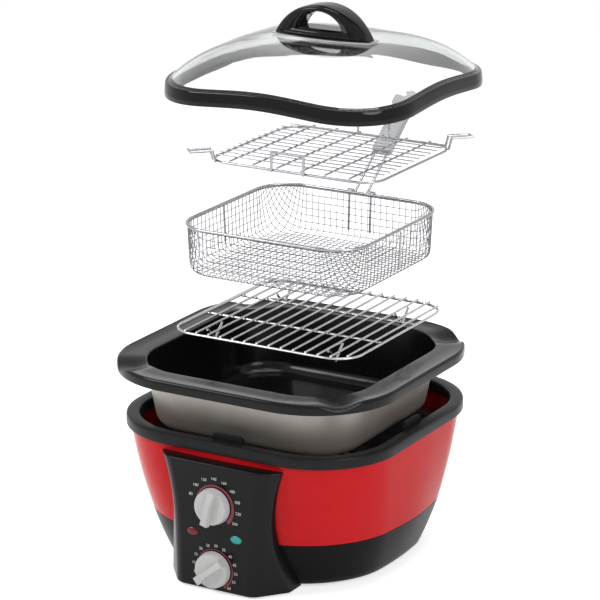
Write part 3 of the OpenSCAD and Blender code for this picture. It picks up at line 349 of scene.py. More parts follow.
def band_half(z):
    """Half width of the band at a height."""
    share = (z - band_low.z) / (band_high.z - band_low.z)
    return band_foot_half + (band_top_half - band_foot_half) * share + 4 * BULGE * share * (1 - share)


band_rise = band_high.z - band_low.z - EDGE
levels = [band_low.z + EDGE + band_rise * i / BAND_ROWS for i in range(BAND_ROWS + 1)]
outer = [(band_half(band_low.z) - EDGE, band_low.z)] + [(band_half(z), z) for z in levels]
inner = [(half - WALL, z) for half, z in reversed(outer)]
make_piece("lacquered_band", wall_round(outer, inner), [lacquer], "base", ["red_band"])

# Rim and pan tabs
# A heat-resistant rim of glass-filled nylon caps the band. Four tabs on its inside carry the pan's flange.
# Glass-filled nylon: satin near-black with the same grain as the tub, drawn as coarse
nylon, tree, shader, place = new_material("glass_filled_nylon", roughness=0.36, specular_ior_level=0.12)
mottle(tree, shader, place, 18 * MM, 4, "#171719", "#202022")
dimple(tree, shader, place, GRAIN, 2, 0.15, 0.2 * MM)

rim_low, rim_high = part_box("rim_ring")
# Section of the rim: distance in from its outside and height share, once round from its outer foot
RIM_SECTION = [(5, 0), (0.8, 0), (0.2, 0.04), (0, 0.1), (0, 0.74), (0.3, 0.88), (1, 0.97), (2, 1.0), (9, 1.0),
               (15.4, 1.0), (16.8, 0.97), (17.7, 0.87), (18, 0.74), (18, 0)]
shape = bmesh.new()
rim_rows = []
for inset, share in RIM_SECTION:
    half = rim_high.x - inset * MM
    rim_rows.append((half, half, half - CORE, rim_low.z + share * (rim_high.z - rim_low.z)))
loft(shape, rim_rows, closed=True)
make_piece("well_rim", shape, [nylon], "base", ["rim_ring"])
dress(nylon, "pan_supports")

# Well
# A pressed aluminium shield lines the well. The tubular heating element, its clips and the thermostat's
# copper bulb lie on its floor.
# Pressed aluminium: half-matt grey metal, clouded in small patches
aluminium, tree, shader, place = new_material("pressed_aluminium", metallic=1, roughness=0.42)
mottle(tree, shader, place, 14 * MM, 5, "#77787a", "#95969a")
dress(aluminium, "heat_shield")

# Heat-blued steel tube: dark grey with brown patches from use
tube_steel, tree, shader, place = new_material("heat_blued_steel", metallic=1, roughness=0.45)
mottle(tree, shader, place, 20 * MM, 3, "#3c3d40", "#57504a")
dress(tube_steel, "heating_element")

# Drawn copper: warm metal, dulled in patches
copper, tree, shader, place = new_material("drawn_copper", metallic=1, roughness=0.35)
mottle(tree, shader, place, 8 * MM, 3, "#a8683f", "#8c5636")
dress(copper, "thermostat_bulb")

# Controls inside the base
# The thermostat, the timer and the terminal block have cream moulded cases, the lamps are small glass
# bulbs, and a sleeved loom runs to them from the inlet's terminals.
# Moulded melamine: half-matt cream
cream, tree, shader, place = new_material("moulded_melamine_cream", roughness=0.5)
mottle(tree, shader, place, 5 * MM, 3, "#d9d2bd", "#e4decd")
dress(cream, "thermostat_body", "timer_body", "terminal_block")

# Woven glass sleeve: dull dark red in fine bands, about 2 mm apart
sleeve, tree, shader, place = new_material("woven_glass_sleeve", roughness=0.7)
weave = add(tree, "ShaderNodeTexWave", {"Vector": place, "Scale": 1 / (6 * MM), "Distortion": 2})
ends = {"Factor": weave.outputs["Fac"], "A": linear("#6d1c1c"), "B": linear("#86302a")}
tint = add(tree, "ShaderNodeMix", ends, data_type="RGBA")
tree.links.new(tint.outputs["Result"], shader.inputs["Base Color"])
dress(sleeve, "wire_loom")

# Frosted glass: milky, warm and half clear
lamp_glass, tree, shader, place = new_material("frosted_lamp_glass", roughness=0.3, transmission_weight=0.6)
mottle(tree, shader, place, 2 * MM, 2, "#f1e3cb", "#fff6e6")
dress(lamp_glass, "power_lamp", "ready_lamp")
dress(abs_black, "power_inlet")

# Control panel
# One black ABS moulding, hollow behind, is clipped over the front of the base. Its flat face carries the
# dials, its flanks sweep back, and its upright sides draw in to a waist and run back to the body.
temperature_at = Vector(joints["temperature_turn"]["pos_m"])
timer_at = Vector(joints["timer_turn"]["pos_m"])
panel_y = -timer_at.y
DIAL_HIGH, DIAL_LOW = temperature_at.z, timer_at.z
# Panel coordinates to the frame: right, up and out of the face
on_panel = Matrix.Translation((0, -panel_y, 0)) @ Matrix.Rotation(math.pi / 2, 4, "X")

panel_low, panel_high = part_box("control_panel")
FACE_FOOT, FACE_TOP = 55 * MM, 72 * MM
PANEL_FOOT_HALF, PANEL_WAIST, PANEL_TOP_HALF = 87.5 * MM, 72 * MM, 88.5 * MM
PANEL_WAIST_Z = 94 * MM
PANEL_CURVE = 1.8
FLANK_FOOT, FLANK_TOP = 40 * MM, 18 * MM
PANEL_T = 3 * MM
PANEL_ROWS = 28
FACE_SOFT, FLANK_SOFT, RIM_SOFT = 9 * MM, 2.6 * MM, 2 * MM
PANEL_CREASE = math.radians(45)


def panel_swell(z):
    """How far the panel has left its waist: 0 at the waist, 1 at its foot and top."""
    end_z = panel_low.z if z < PANEL_WAIST_Z else panel_high.z
    return ((z - PANEL_WAIST_Z) / (end_z - PANEL_WAIST_Z)) ** PANEL_CURVE


def panel_points(z):
    """Half outline of the panel at a height: back, edge of the flank and edge of the face, as x and y."""
    below = z < PANEL_WAIST_Z
    side = PANEL_WAIST + ((PANEL_FOOT_HALF if below else PANEL_TOP_HALF) - PANEL_WAIST) * panel_swell(z)
    flank = FLANK_TOP + ((FLANK_FOOT - FLANK_TOP) * panel_swell(z) if below else 0)
    face = FACE_FOOT + (FACE_TOP - FACE_FOOT) * (z / panel_high.z) ** 3
    half = band_half(z) if z > band_low.z else tub_half(max(z, tub_low.z))
    past = max(0, side - half + BODY_CORNER)
    wall = half - BODY_CORNER + math.sqrt(BODY_CORNER ** 2 - past ** 2)
    return (side, bowed(side, -wall, z).y + WALL / 3), (side, flank - panel_y), (face, -panel_y)


# A grid of five strips: two sides, two flanks and the face. A column's rank counts in from the back
STRIPS = 5
shape = bmesh.new()
bmesh.ops.create_grid(shape, x_segments=STRIPS, y_segments=PANEL_ROWS, size=1)
creases = {1: set(), 2: set()}
for v in shape.verts:
    column = round((v.co.x + 1) * STRIPS / 2)
    rank = min(column, STRIPS - column)
    z = panel_low.z + (panel_high.z - panel_low.z) * (v.co.y + 1) / 2
    x, y = panel_points(z)[rank]
    v.co = (x if column > STRIPS / 2 else -x, y, z)
    if rank:
        creases[rank].add(v)
for level in (panel_low.z, panel_high.z):
    bmesh.ops.contextual_create(shape, geom=[v for v in shape.verts if abs(v.co.z - level) < NEAR])
bmesh.ops.recalc_face_normals(shape, faces=shape.faces)
upright = {1: [], 2: []}
for e in shape.edges:
    a, b = e.verts
    if a.co.x * b.co.x > 0 and abs(a.co.z - b.co.z) > 1 * MM:
        for rank, points in creases.items():
            if a in points and b in points:
                upright[rank].append(e)
for rank, offset, steps in ((2, FACE_SOFT, 6), (1, FLANK_SOFT, 4)):
    bmesh.ops.bevel(shape, geom=upright[rank], offset=offset, offset_type="OFFSET", affect="EDGES",
                    segments=steps, profile=0.5, material=-1)
rims = [e for e in shape.edges if len(e.link_faces) == 2 and e.calc_face_angle() > PANEL_CREASE
        and all(v.co.z < panel_low.z + NEAR or v.co.z > panel_high.z - NEAR for v in e.verts)]
bmesh.ops.bevel(shape, geom=rims, offset=RIM_SOFT, offset_type="OFFSET", affect="EDGES",
                segments=4, profile=0.5, material=-1)
bmesh.ops.recalc_face_normals(shape, faces=shape.faces)
bmesh.ops.solidify(shape, geom=shape.faces[:], thickness=PANEL_T)

# Polished ABS: the tub's black, with the sheen of a polished mould
abs_gloss, tree, shader, place = new_material("polished_abs_black", roughness=0.24, specular_ior_level=0.13)
mottle(tree, shader, place, 50 * MM, 3, "#0e0d0e", "#151415")
make_piece("panel_moulding", shape, [abs_gloss], "base", ["control_panel"])

# Dial printing
# Pale numbers round each dial and a dark red arc that thickens towards its hot or long end are
# screen-printed on the panel. Plain numbers only.
# Screen ink: flat and matt, thinner in small patches
pale_ink, tree, shader, place = new_material("screen_ink_pale", roughness=0.6)
mottle(tree, shader, place, 3 * MM, 3, "#b9b9b7", "#dededc")
red_ink, tree, shader, place = new_material("screen_ink_dark_red", roughness=0.6)
mottle(tree, shader, place, 3 * MM, 3, "#7a3036", "#8f4147")

NUMBER_SIZE = 5.4 * MM
INK = 0.12 * MM
TEMPERATURES = [str(value) for value in range(80, 241, 20)]
MINUTES = [str(value) for value in range(5, 61, 5)]
# Each dial: height along the panel, numbers, ring of the numbers, clock angles of the first and last
DIALS = [(DIAL_HIGH, TEMPERATURES, 35.5 * MM, -74, 122), (DIAL_LOW, MINUTES, 31 * MM, -107, 137)]
shape = bmesh.new()
for up, numbers, ring, first, last in DIALS:
    for i, number in enumerate(numbers):
        clock = math.radians(first + (last - first) * i / (len(numbers) - 1))
        text = bpy.data.curves.new("number", "FONT")
        text.body = number
        text.size = NUMBER_SIZE
        text.align_x = text.align_y = "CENTER"
        text.extrude = INK
        text.resolution_u = 3
        writer = bpy.data.objects.new("number", text)
        printed = bpy.data.meshes.new_from_object(writer)
        spot = Matrix.Translation((ring * math.sin(clock), up + ring * math.cos(clock), 0))
        printed.transform(on_panel @ spot)
        shape.from_mesh(printed)
        bpy.data.objects.remove(writer)
        bpy.data.curves.remove(text)
        bpy.data.meshes.remove(printed)
make_piece("dial_numbers", shape, [pale_ink], "base")

ARC_STEPS = 48
# Each arc: height along the panel, inner radius, thin and thick widths, clock angles of its ends
ARCS = [(DIAL_HIGH, 25.4 * MM, 1.4 * MM, 4.8 * MM, -132, 135),
        (DIAL_LOW, 25.4 * MM, 0.8 * MM, 2.6 * MM, -60, 150)]
shape = bmesh.new()
for up, radius, thin, thick, first, last in ARCS:
    start = [shape.verts.new((0, up + radius, INK)), shape.verts.new((0, up + radius + thin, INK))]
    line = shape.edges.new(start)
    centre = (0, up, 0)
    bmesh.ops.rotate(shape, cent=centre, matrix=Matrix.Rotation(math.radians(-first), 3, "Z"), verts=start)
    bmesh.ops.spin(shape, geom=start + [line], cent=centre, axis=(0, 0, -1), angle=math.radians(last - first),
                   steps=ARC_STEPS)
    for v in shape.verts:
        arm = Vector((v.co.x, v.co.y - up, 0))
        if abs(arm.length - radius - thin) < thin / 3:
            share = (math.degrees(math.atan2(arm.x, arm.y)) - first) / (last - first)
            arm = arm.normalized() * (radius + thin + (thick - thin) * max(0, min(1, share)) ** 2)
            v.co.x, v.co.y = arm.x, arm.y + up
bmesh.ops.solidify(shape, geom=shape.faces[:], thickness=INK)
bmesh.ops.transform(shape, matrix=on_panel, verts=shape.verts)
make_piece("dial_arcs", shape, [red_ink], "base")

# Knobs
# Grey ABS knobs with a raised finger bar, pressed onto the shafts of the thermostat and the timer.
# Satin ABS: pale grey with a soft sheen
knob_grey, tree, shader, place = new_material("satin_abs_grey", roughness=0.34, ior=1.46)
mottle(tree, shader, place, 9 * MM, 3, "#b4b4b3", "#c2c2c1")

# Section of the disc, from its hollow underside to the middle of its top: radius and height
KNOB_SECTION = [(0, 5.6), (10, 5.6), (10, 0.9), (23.4, 0.9), (24, 1.6), (23.6, 6), (22.8, 10.4), (21.8, 12),
                (20, 12.7), (16, 12.6), (0, 12.2)]
KNOB_STEPS = 56
BAR_L, BAR_W, BAR_WAIST, BAR_FOOT = 23.9 * MM, 5 * MM, 0.72, 1.18
BAR_LOW, BAR_HIGH, BAR_SAG, BAR_SOFT = 11 * MM, 20.6 * MM, 2.2 * MM, 1.1 * MM
BAR_STEPS = 10
BAR_CREASE = math.radians(50)


def turned(mesh, section, steps):
    """Skin of a section, in millimetres of radius and height, turned once round the upright axis."""
    line = [mesh.verts.new((r * MM, 0, z * MM)) for r, z in section]
    edges = [mesh.edges.new(pair) for pair in zip(line, line[1:])]
    bmesh.ops.spin(mesh, geom=line + edges, cent=(0, 0, 0), axis=(0, 0, 1), angle=2 * math.pi,
                   steps=steps, use_merge=True)
    bmesh.ops.remove_doubles(mesh, verts=mesh.verts, dist=NEAR)


# Each knob: piece, height along the panel, clock angle of its bar at rest, body and node
KNOBS = [("temperature_grip", DIAL_HIGH, 195, "temperature_dial", "temperature_knob"),
         ("timer_grip", DIAL_LOW, 230, "timer_dial", "timer_knob")]
for name, up, clock, body, node in KNOBS:
    shape = bmesh.new()
    turned(shape, KNOB_SECTION, KNOB_STEPS)
    bar = bmesh.ops.create_grid(shape, x_segments=1, y_segments=BAR_STEPS, size=1)["verts"]
    top = list({f for v in bar for f in v.link_faces})
    for v in bar:
        end = v.co.y ** 2
        half = BAR_W * (BAR_WAIST + (1 - BAR_WAIST) * end)
        v.co = (v.co.x * half, v.co.y * BAR_L, BAR_HIGH - BAR_SAG * end)
    sunk = bmesh.ops.extrude_face_region(shape, geom=top)["geom"]
    for v in (g for g in sunk if isinstance(g, bmesh.types.BMVert)):
        v.co.x *= BAR_FOOT
        v.co.z = BAR_LOW
    creases = {e for f in top for e in f.edges if e.calc_face_angle() > BAR_CREASE}
    bmesh.ops.bevel(shape, geom=list(creases), offset=BAR_SOFT, offset_type="OFFSET", affect="EDGES",
                    segments=3, profile=0.5, material=-1)
    turn = Matrix.Rotation(math.radians(-clock), 4, "Z")
    bmesh.ops.transform(shape, matrix=on_panel @ Matrix.Translation((0, up, 0)) @ turn, verts=shape.verts)
    make_piece(name, shape, [knob_grey], body, [node])

# Indicator lenses
# Two small domed lenses of clear-dyed polycarbonate, red for power and teal for ready, clip into the panel.
# The part that shows is an oval, this much wider and less tall than the round socket behind it
LENS_WIDE, LENS_TALL = 1.4, 0.92
LENS_STEPS = 32
# Section of a lens, from its socket to the middle of its dome: radius and height
LENS_SECTION = [(4.4, -2.9), (4.4, 0.1), (5.7, 0.1), (5.6, 0.6), (5.0, 1.2), (3.8, 1.8), (2.2, 2.2),
                (0, 2.35)]
# How much brighter the dye's thin swirls are than the rest
DYE_LIFT = 1.35
# Each lens: piece, node, slot and colour
LENSES = [("red_lens", "power_lens", "power_red", "#64091d"),
          ("teal_lens", "ready_lens", "ready_teal", "#2b8d86")]
for name, node, slot, body_colour in LENSES:
    # Dyed polycarbonate: glossy and deep, with paler swirls of about 4 mm where the dye is thin
    dyed, tree, shader, place = new_material(f"dyed_polycarbonate_{slot}", roughness=0.12,
                                             specular_ior_level=0.3)
    swirl = add(tree, "ShaderNodeTexNoise", {"Vector": place, "Scale": 1 / (4 * MM), "Detail": 2})
    pale = [c * DYE_LIFT for c in linear(body_colour)[:3]] + [1]
    ends = {"Factor": swirl.outputs["Fac"], "A": linear(body_colour), "B": pale}
    tint = add(tree, "ShaderNodeMix", ends, data_type="RGBA")
    tree.links.new(tint.outputs["Result"], shader.inputs["Base Color"])
    low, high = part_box(node)
    centre = on_panel.inverted() @ ((low + high) / 2)
    shape = bmesh.new()
    turned(shape, LENS_SECTION, LENS_STEPS)
    bmesh.ops.holes_fill(shape, edges=[e for e in shape.edges if e.is_boundary], sides=0)
    for v in shape.verts:
        if v.co.z > 0:
            v.co = (v.co.x * LENS_WIDE, v.co.y * LENS_TALL, v.co.z)
    seat = on_panel @ Matrix.Translation((centre.x, centre.y, 0))
    bmesh.ops.transform(shape, matrix=seat, verts=shape.verts)
    make_piece(name, shape, [dyed], "base", [node])

# Pan
# A cast aluminium pan with a wide flange, a skirt that hangs outside the base's rim and a pouring lip
# at each corner. Black non-stick coat inside and on the flange, taupe heat-resistant coat outside.
pan_low, pan_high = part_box("pan")
pan_centre = (pan_low + pan_high) / 2
LIP = 1.2 * MM
flange_z = pan_high.z - LIP
pan_out = pan_high.x - pan_centre.x - CORE
PAN_DEPTH, PAN_WALL, FLANGE_T, SKIRT_H, SKIRT_T = 86 * MM, 3 * MM, 3.5 * MM, 14 * MM, 3.2 * MM
PAN_WALL_OUT, PAN_DRAFT, PAN_BEND = 80 * MM, math.radians(11), 20 * MM
BEND_ROWS = 8


def tub_bend(out, draft, bend, radius, z):
    """Corner radius and height of each row of the bend between a tub's floor and its wall."""
    angles = [-math.pi / 2 + (math.pi / 2 - draft) * i / BEND_ROWS for i in range(BEND_ROWS + 1)]
    middle = out - bend / math.cos(draft)
    return [(middle + radius * math.cos(a), z + bend + radius * math.sin(a)) for a in angles]


foot_out = PAN_WALL_OUT - math.tan(PAN_DRAFT) * (PAN_DEPTH + PAN_WALL - PAN_BEND - FLANGE_T)
outside = tub_bend(foot_out, PAN_DRAFT, PAN_BEND, PAN_BEND, -PAN_DEPTH - PAN_WALL)
skirt_in = pan_out - SKIRT_T
wall_in = PAN_WALL_OUT - PAN_WALL
# Runs of the section: a corner radius and a height to start from, then millimetres out and up from there
NECK = (PAN_WALL_OUT, -FLANGE_T), [(-1.2, -6), (0, -1), (2, 0)]
FLANGE_RUNS = [
    ((skirt_in, -FLANGE_T), [(-2, 0), (0, -1.5)]),
    ((skirt_in, LIP - SKIRT_H), [(0, 0.6), (0.8, 0)]),
    ((pan_out, LIP - SKIRT_H), [(-1.2, 0), (-0.2, 0.9), (0, 3)]),
    ((pan_out, LIP), [(0, -4), (-0.5, -1.8), (-1.6, -0.5), (-3, 0), (-4.4, -0.3)]),
    ((pan_out, 0), [(-6.4, 0)]),
    ((PAN_WALL_OUT, 0), [(12, 0), (2, 0)]),
    ((wall_in, 0), [(1.6, -0.3), (0.4, -1.4)]),
]


def run_points(start, steps):
    """Corner radius and height of each point of a run."""
    return [(start[0] + out * MM, start[1] + up * MM) for out, up in steps]


outside += run_points(*NECK)
flange = [point for run in FLANGE_RUNS for point in run_points(*run)]
inside = run_points((wall_in, 0), [(-1, -8)])
inside += reversed(tub_bend(foot_out, PAN_DRAFT, PAN_BEND, PAN_BEND - PAN_WALL, -PAN_DEPTH - PAN_WALL))
inside += run_points((0, -PAN_DEPTH), [(20, 0), (2, 0)])
sections = run_points((0, -PAN_DEPTH - PAN_WALL), [(2, 0)]) + outside + flange + inside
coat_from = len(outside)
PAN_CUTS = 5
shape = bmesh.new()
strips = loft(shape, [(CORE + out, CORE + out, out, z) for out, z in sections], PAN_CUTS)[1]
for strip in strips[:coat_from]:
    for face in strip:
        face.material_index = 1
floors = bmesh.ops.holes_fill(shape, edges=[e for e in shape.edges if e.is_boundary], sides=0)["faces"]
min(floors, key=lambda face: face.calc_center_median().z).material_index = 1

# The pouring lips: the flange sinks towards each corner, most at the outer lip. Its underside sinks less
SPOUT_HALF, SPOUT_RUN = 32 * MM, 14 * MM
SPOUT_DIP, SPOUT_UNDER = 7.5 * MM, 0.96
for v in shape.verts:
    along = (abs(v.co.x) + abs(v.co.y)) / math.sqrt(2)
    across = (abs(v.co.x) - abs(v.co.y)) / math.sqrt(2)
    reach = along - (CORE * math.sqrt(2) + PAN_WALL_OUT - 2 * PAN_WALL)
    if reach > 0 and abs(across) < SPOUT_HALF and v.co.z > -FLANGE_T - 2 * MM:
        ease = 0.5 + 0.5 * math.cos(math.pi * across / SPOUT_HALF)
        share = 1 if v.co.z > -FLANGE_T / 2 else SPOUT_UNDER
        v.co.z -= SPOUT_DIP * ease * min(1, reach / SPOUT_RUN) * share
bmesh.ops.translate(shape, vec=(pan_centre.x, pan_centre.y, flange_z), verts=shape.verts)

# Sprayed non-stick coat: satin black with a fine pale fleck, drawn at 1.6 mm so that it shows
coat_black, tree, shader, place = new_material("non_stick_coat_black", roughness=0.16,
                                               specular_ior_level=0.18)
speck = add(tree, "ShaderNodeTexNoise", {"Vector": place, "Scale": 1 / (1.6 * MM), "Detail": 2})
few = add(tree, "ShaderNodeValToRGB", {"Fac": speck.outputs["Fac"]})
few.color_ramp.elements[0].position = 0.62
few.color_ramp.elements[0].color = linear("#0c0c0d")
few.color_ramp.elements[1].position = 0.78
few.color_ramp.elements[1].color = linear("#1d1d1f")
tree.links.new(few.outputs["Color"], shader.inputs["Base Color"])
bump = add(tree, "ShaderNodeBump", {"Height": speck.outputs["Fac"], "Strength": 0.1, "Distance": 0.2 * MM})
tree.links.new(bump.outputs["Normal"], shader.inputs["Normal"])

# Heat-resistant coat: a taupe pearl that is a little metallic
coat_taupe, tree, shader, place = new_material("heat_resistant_coat_taupe", roughness=0.4, metallic=0.55)
mottle(tree, shader, place, 30 * MM, 4, "#9c968f", "#aba59e")
dimple(tree, shader, place, 1.5 * MM, 2, 0.08, 0.2 * MM)
make_piece("cast_pan", shape, [coat_black, coat_taupe], "pan", ["pan"])

# Wire racks and basket wires
# Drawn steel wire, spot-welded and chrome plated: the roast rack with its legs, the grill rack with its
# corner handles and hoops, and the rim, posts, eyes and handle wire of the basket.
# Chrome-plated wire: cool grey metal, lighter and darker along its length
chrome_wire, tree, shader, place = new_material("chrome_plated_wire", metallic=1, roughness=0.22)
mottle(tree, shader, place, 12 * MM, 3, "#88888c", "#adadb1")
dress(chrome_wire, "grill_frame", "grill_ribs", "grill_wires", "grill_handles", "grill_hoops", "basket_rim",
      "basket_posts", "basket_eyes", "handle_wire")
# The roast rack's wire has a brighter, smoother plating
bright_wire, tree, shader, place = new_material("bright_chrome_wire", metallic=1, roughness=0.16)
mottle(tree, shader, place, 12 * MM, 3, "#a9a9ac", "#c9c9cb")
dress(bright_wire, "roast_frame", "roast_legs", "roast_bars", "roast_cross_wires")

# Basket mesh
# A square of woven steel wire is pressed into a tub, so its wires run straight over the floor and the
# sides and crowd together in the corners. Its edge is welded to the rim wire.
mesh_low, mesh_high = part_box("basket_mesh")
mesh_centre = (mesh_low + mesh_high) / 2
BASKET_OUT, MESH_T, BASKET_DRAFT, BASKET_BEND = 49 * MM, 1.6 * MM, math.radians(2.6), 12 * MM
MESH_PITCH = 9.2 * MM
MESH_WIRE = 1.25 * MM
basket_h = mesh_high.z - mesh_low.z
basket_foot = BASKET_OUT - MESH_T / 2 - math.tan(BASKET_DRAFT) * (basket_h - BASKET_BEND)
bend_centre = basket_foot - BASKET_BEND / math.cos(BASKET_DRAFT)
bend_radius = BASKET_BEND - MESH_T / 2
bend_turn = math.pi / 2 - BASKET_DRAFT
bend_run = bend_radius * bend_turn
wall_run = (basket_h - BASKET_BEND) / math.cos(BASKET_DRAFT)


def press(out):
    """Where a wire that lies this far out on the flat sheet ends up: corner radius and height."""
    past = out - bend_centre
    if past < 0:
        return out, MESH_T / 2
    if past < bend_run:
        a = past / bend_radius
        return bend_centre + bend_radius * math.sin(a), BASKET_BEND - bend_radius * math.cos(a)
    up = min(past - bend_run, wall_run)
    return (bend_centre + bend_radius * math.sin(bend_turn) + up * math.sin(BASKET_DRAFT),
            BASKET_BEND - bend_radius * math.cos(bend_turn) + up * math.cos(BASKET_DRAFT))


sheet_half = CORE + bend_centre + bend_run + wall_run
cells = round(2 * sheet_half / MESH_PITCH)
sheet_edge = sheet_half - CORE
shape = bmesh.new()
bmesh.ops.create_grid(shape, x_segments=cells, y_segments=cells, size=sheet_half)


def sheet_out(v):
    """How far out a point of the flat sheet lies from the straight core, and in which direction."""
    return Vector((math.copysign(max(abs(v.co.x) - CORE, 0), v.co.x),
                   math.copysign(max(abs(v.co.y) - CORE, 0), v.co.y), 0))


trim = sheet_edge - 0.2 * MESH_PITCH
waste = [f for f in shape.faces if all(sheet_out(v).length > trim for v in f.verts)]
bmesh.ops.delete(shape, geom=waste, context="FACES")
for v in shape.verts:
    arm = sheet_out(v)
    if arm.length > 0:
        out, z = press(min(arm.length, sheet_edge))
        base = Vector((max(-CORE, min(CORE, v.co.x)), max(-CORE, min(CORE, v.co.y)), 0))
        v.co = base + arm.normalized() * out + Vector((0, 0, z))
    else:
        v.co.z = MESH_T / 2
bmesh.ops.translate(shape, vec=(mesh_centre.x, mesh_centre.y, mesh_low.z), verts=shape.verts)
bmesh.ops.wireframe(shape, faces=shape.faces[:], thickness=MESH_WIRE, use_replace=True, use_boundary=True,
                    use_even_offset=False)

# Tinned wire: soft grey metal, lighter and darker from one opening to the next
tinned_wire, tree, shader, place = new_material("tinned_wire", metallic=1, roughness=0.35)
mottle(tree, shader, place, MESH_PITCH, 2, "#66676b", "#8a8b8f")
make_piece("woven_basket", shape, [tinned_wire], "basket", ["basket_mesh"])

# Basket grip
# A hollow grey nylon grip with moulded ribs along its edges is pushed over the two ends of the handle's wire.
# Moulded nylon: half-matt pale grey
grip_nylon, tree, shader, place = new_material("moulded_nylon_grey", roughness=0.5)
mottle(tree, shader, place, 10 * MM, 3, "#a3a4a8", "#b3b4b8")

pivot = Vector(joints["basket_handle_tilt"]["pos_m"])
HANDLE_TILT = math.radians(-joints["basket_handle_tilt"]["range_deg"][0])
GRIP_FROM, GRIP_L, GRIP_HALF, GRIP_THICK, GRIP_CORNER = 68 * MM, 100 * MM, 14 * MM, 6 * MM, 4 * MM
GRIP_RIBS, RIBS_FROM, RIBS_L = 13, 14 * MM, 66 * MM
RIB = 0.9 * MM
# A groove between two ribs: share of the ribs' pitch and depth
GROOVE = [(0, 0), (0.2, RIB), (0.45, RIB), (0.65, 0)]
# How much of an edge's inset its thickness and its corners take over
THICK_SHARE, CORNER_SHARE = 0.45, 0.4
# Rows along the grip: place, inset of the edge
grip_rows = [(0, 3 * MM), (0.8 * MM, 1.2 * MM), (2.4 * MM, 0), (12 * MM, 0)]
rib_pitch = RIBS_L / GRIP_RIBS
for i in range(GRIP_RIBS):
    grip_rows += [(RIBS_FROM + (i + share) * rib_pitch, depth) for share, depth in GROOVE]
grip_rows += [(GRIP_L - 12 * MM, 0), (GRIP_L - 4 * MM, 0.8 * MM), (GRIP_L - 1.2 * MM, 2 * MM)]
grip_rows += [(GRIP_L, 4.5 * MM)]
shape = bmesh.new()
loft(shape, [(GRIP_HALF - inset, GRIP_THICK - THICK_SHARE * inset, GRIP_CORNER - CORNER_SHARE * inset,
              GRIP_FROM + along) for along, inset in grip_rows])
bmesh.ops.holes_fill(shape, edges=[e for e in shape.edges if e.is_boundary], sides=0)
raised = Matrix.Translation(pivot) @ Matrix.Rotation(HANDLE_TILT, 4, "X")
bmesh.ops.transform(shape, matrix=raised @ Matrix.Rotation(-math.pi / 2, 4, "X"), verts=shape.verts)
make_piece("ribbed_grip", shape, [grip_nylon], "basket_handle", ["handle_grip"])

# Lid rim
# A glossy black phenolic frame is moulded round the glass. Its foot dips at the corners and rises in the
# middle of each side.
# Polished phenolic: warm near-black with a mirror gloss
phenolic, tree, shader, place = new_material("polished_phenolic_black", roughness=0.06,
                                             specular_ior_level=0.2)
mottle(tree, shader, place, 60 * MM, 2, "#080707", "#110e0d")

lid_low, lid_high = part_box("lid_rim")
lid_centre = (lid_low + lid_high) / 2
lid_out = lid_high.x - lid_centre.x - CORE
LID_RIM_W, LID_RIM_H, LID_WAVE = 14 * MM, 19 * MM, 7 * MM
LID_CUTS = 15


def wave(x, y):
    """Rise of the lid's frame at a point: none at a corner, most at the middle of a side."""
    return LID_WAVE * (1 + math.cos(4 * math.atan2(y, x))) / 2


# Section: distance in from the outside and height, from the inner foot out, up and back in
LID_SECTION = [(12, 0), (1.4, 0), (0.5, 0.3), (0, 1.3), (0.1, 7), (0.7, 13), (1.4, 17), (2, 18.2),
               (3.1, 18.9), (5.2, 19), (8, 19), (12.5, 19), (13.7, 18), (14, 16.5), (14, 2), (13.4, 0.6)]
rows = []
for inset, z in LID_SECTION:
    out = lid_out - inset * MM
    rows.append((CORE + out, CORE + out, out, z * MM))
shape = bmesh.new()
loft(shape, rows, LID_CUTS, closed=True)
for v in shape.verts:
    v.co.z += wave(v.co.x, v.co.y)
bmesh.ops.translate(shape, vec=(lid_centre.x, lid_centre.y, lid_low.z), verts=shape.verts)
make_piece("lid_frame", shape, [phenolic], "lid", ["lid_rim"])

# Lid glass
# A pressed dome of tempered soda-lime glass, about 4 mm thick, stands in the frame and has one hole for
# the handle's screw.
# Tempered glass: clear, with a very faint waviness from the press
dome, tree, shader, place = new_material("tempered_glass", roughness=0.02, ior=1.5, transmission_weight=1)
shader.inputs["Base Color"].default_value = linear("#f7faf9")
dimple(tree, shader, place, 90 * MM, 1, 0.02, 0.5 * MM)

DOME_H, DOME_POWER, GLASS_T, GLASS_EDGE, GLASS_HOLE = 47 * MM, 4, 4 * MM, 8 * MM, 6 * MM
DOME_SHARES = [1, 0.985, 0.965, 0.94, 0.91, 0.87, 0.82, 0.76, 0.68, 0.58, 0.46, 0.33, 0.2, 0.1]
SEAT = 0.05 * MM
WAVE_FADE = 3
glass_out = lid_out - LID_RIM_W + GLASS_EDGE
hole = GLASS_HOLE / (CORE + glass_out)
# Rows of the glass: edge of the outer or the inner skin, share of the way out, and drop of the inner skin
dome_rows = [(glass_out, share, 0) for share in DOME_SHARES + [hole]] + [(glass_out, hole, GLASS_T)]
dome_rows += [(glass_out - GLASS_T, share, GLASS_T) for share in reversed(DOME_SHARES[1:])]
dome_rows += [(glass_out - GLASS_T, 1, 0)]
shape = bmesh.new()
rows = [((CORE + out) * share, (CORE + out) * share, out * share, 0) for out, share, drop in dome_rows]
rings = loft(shape, rows, LID_CUTS, closed=True)[0]
for ring, (out, share, drop) in zip(rings, dome_rows):
    for v in ring:
        rise = DOME_H * (1 - share ** DOME_POWER) + wave(v.co.x, v.co.y) * share ** WAVE_FADE
        v.co.z = LID_RIM_H + SEAT + rise - drop
bmesh.ops.translate(shape, vec=(lid_centre.x, lid_centre.y, lid_low.z), verts=shape.verts)
make_piece("glass_dome", shape, [dome], "lid", ["lid_glass"])

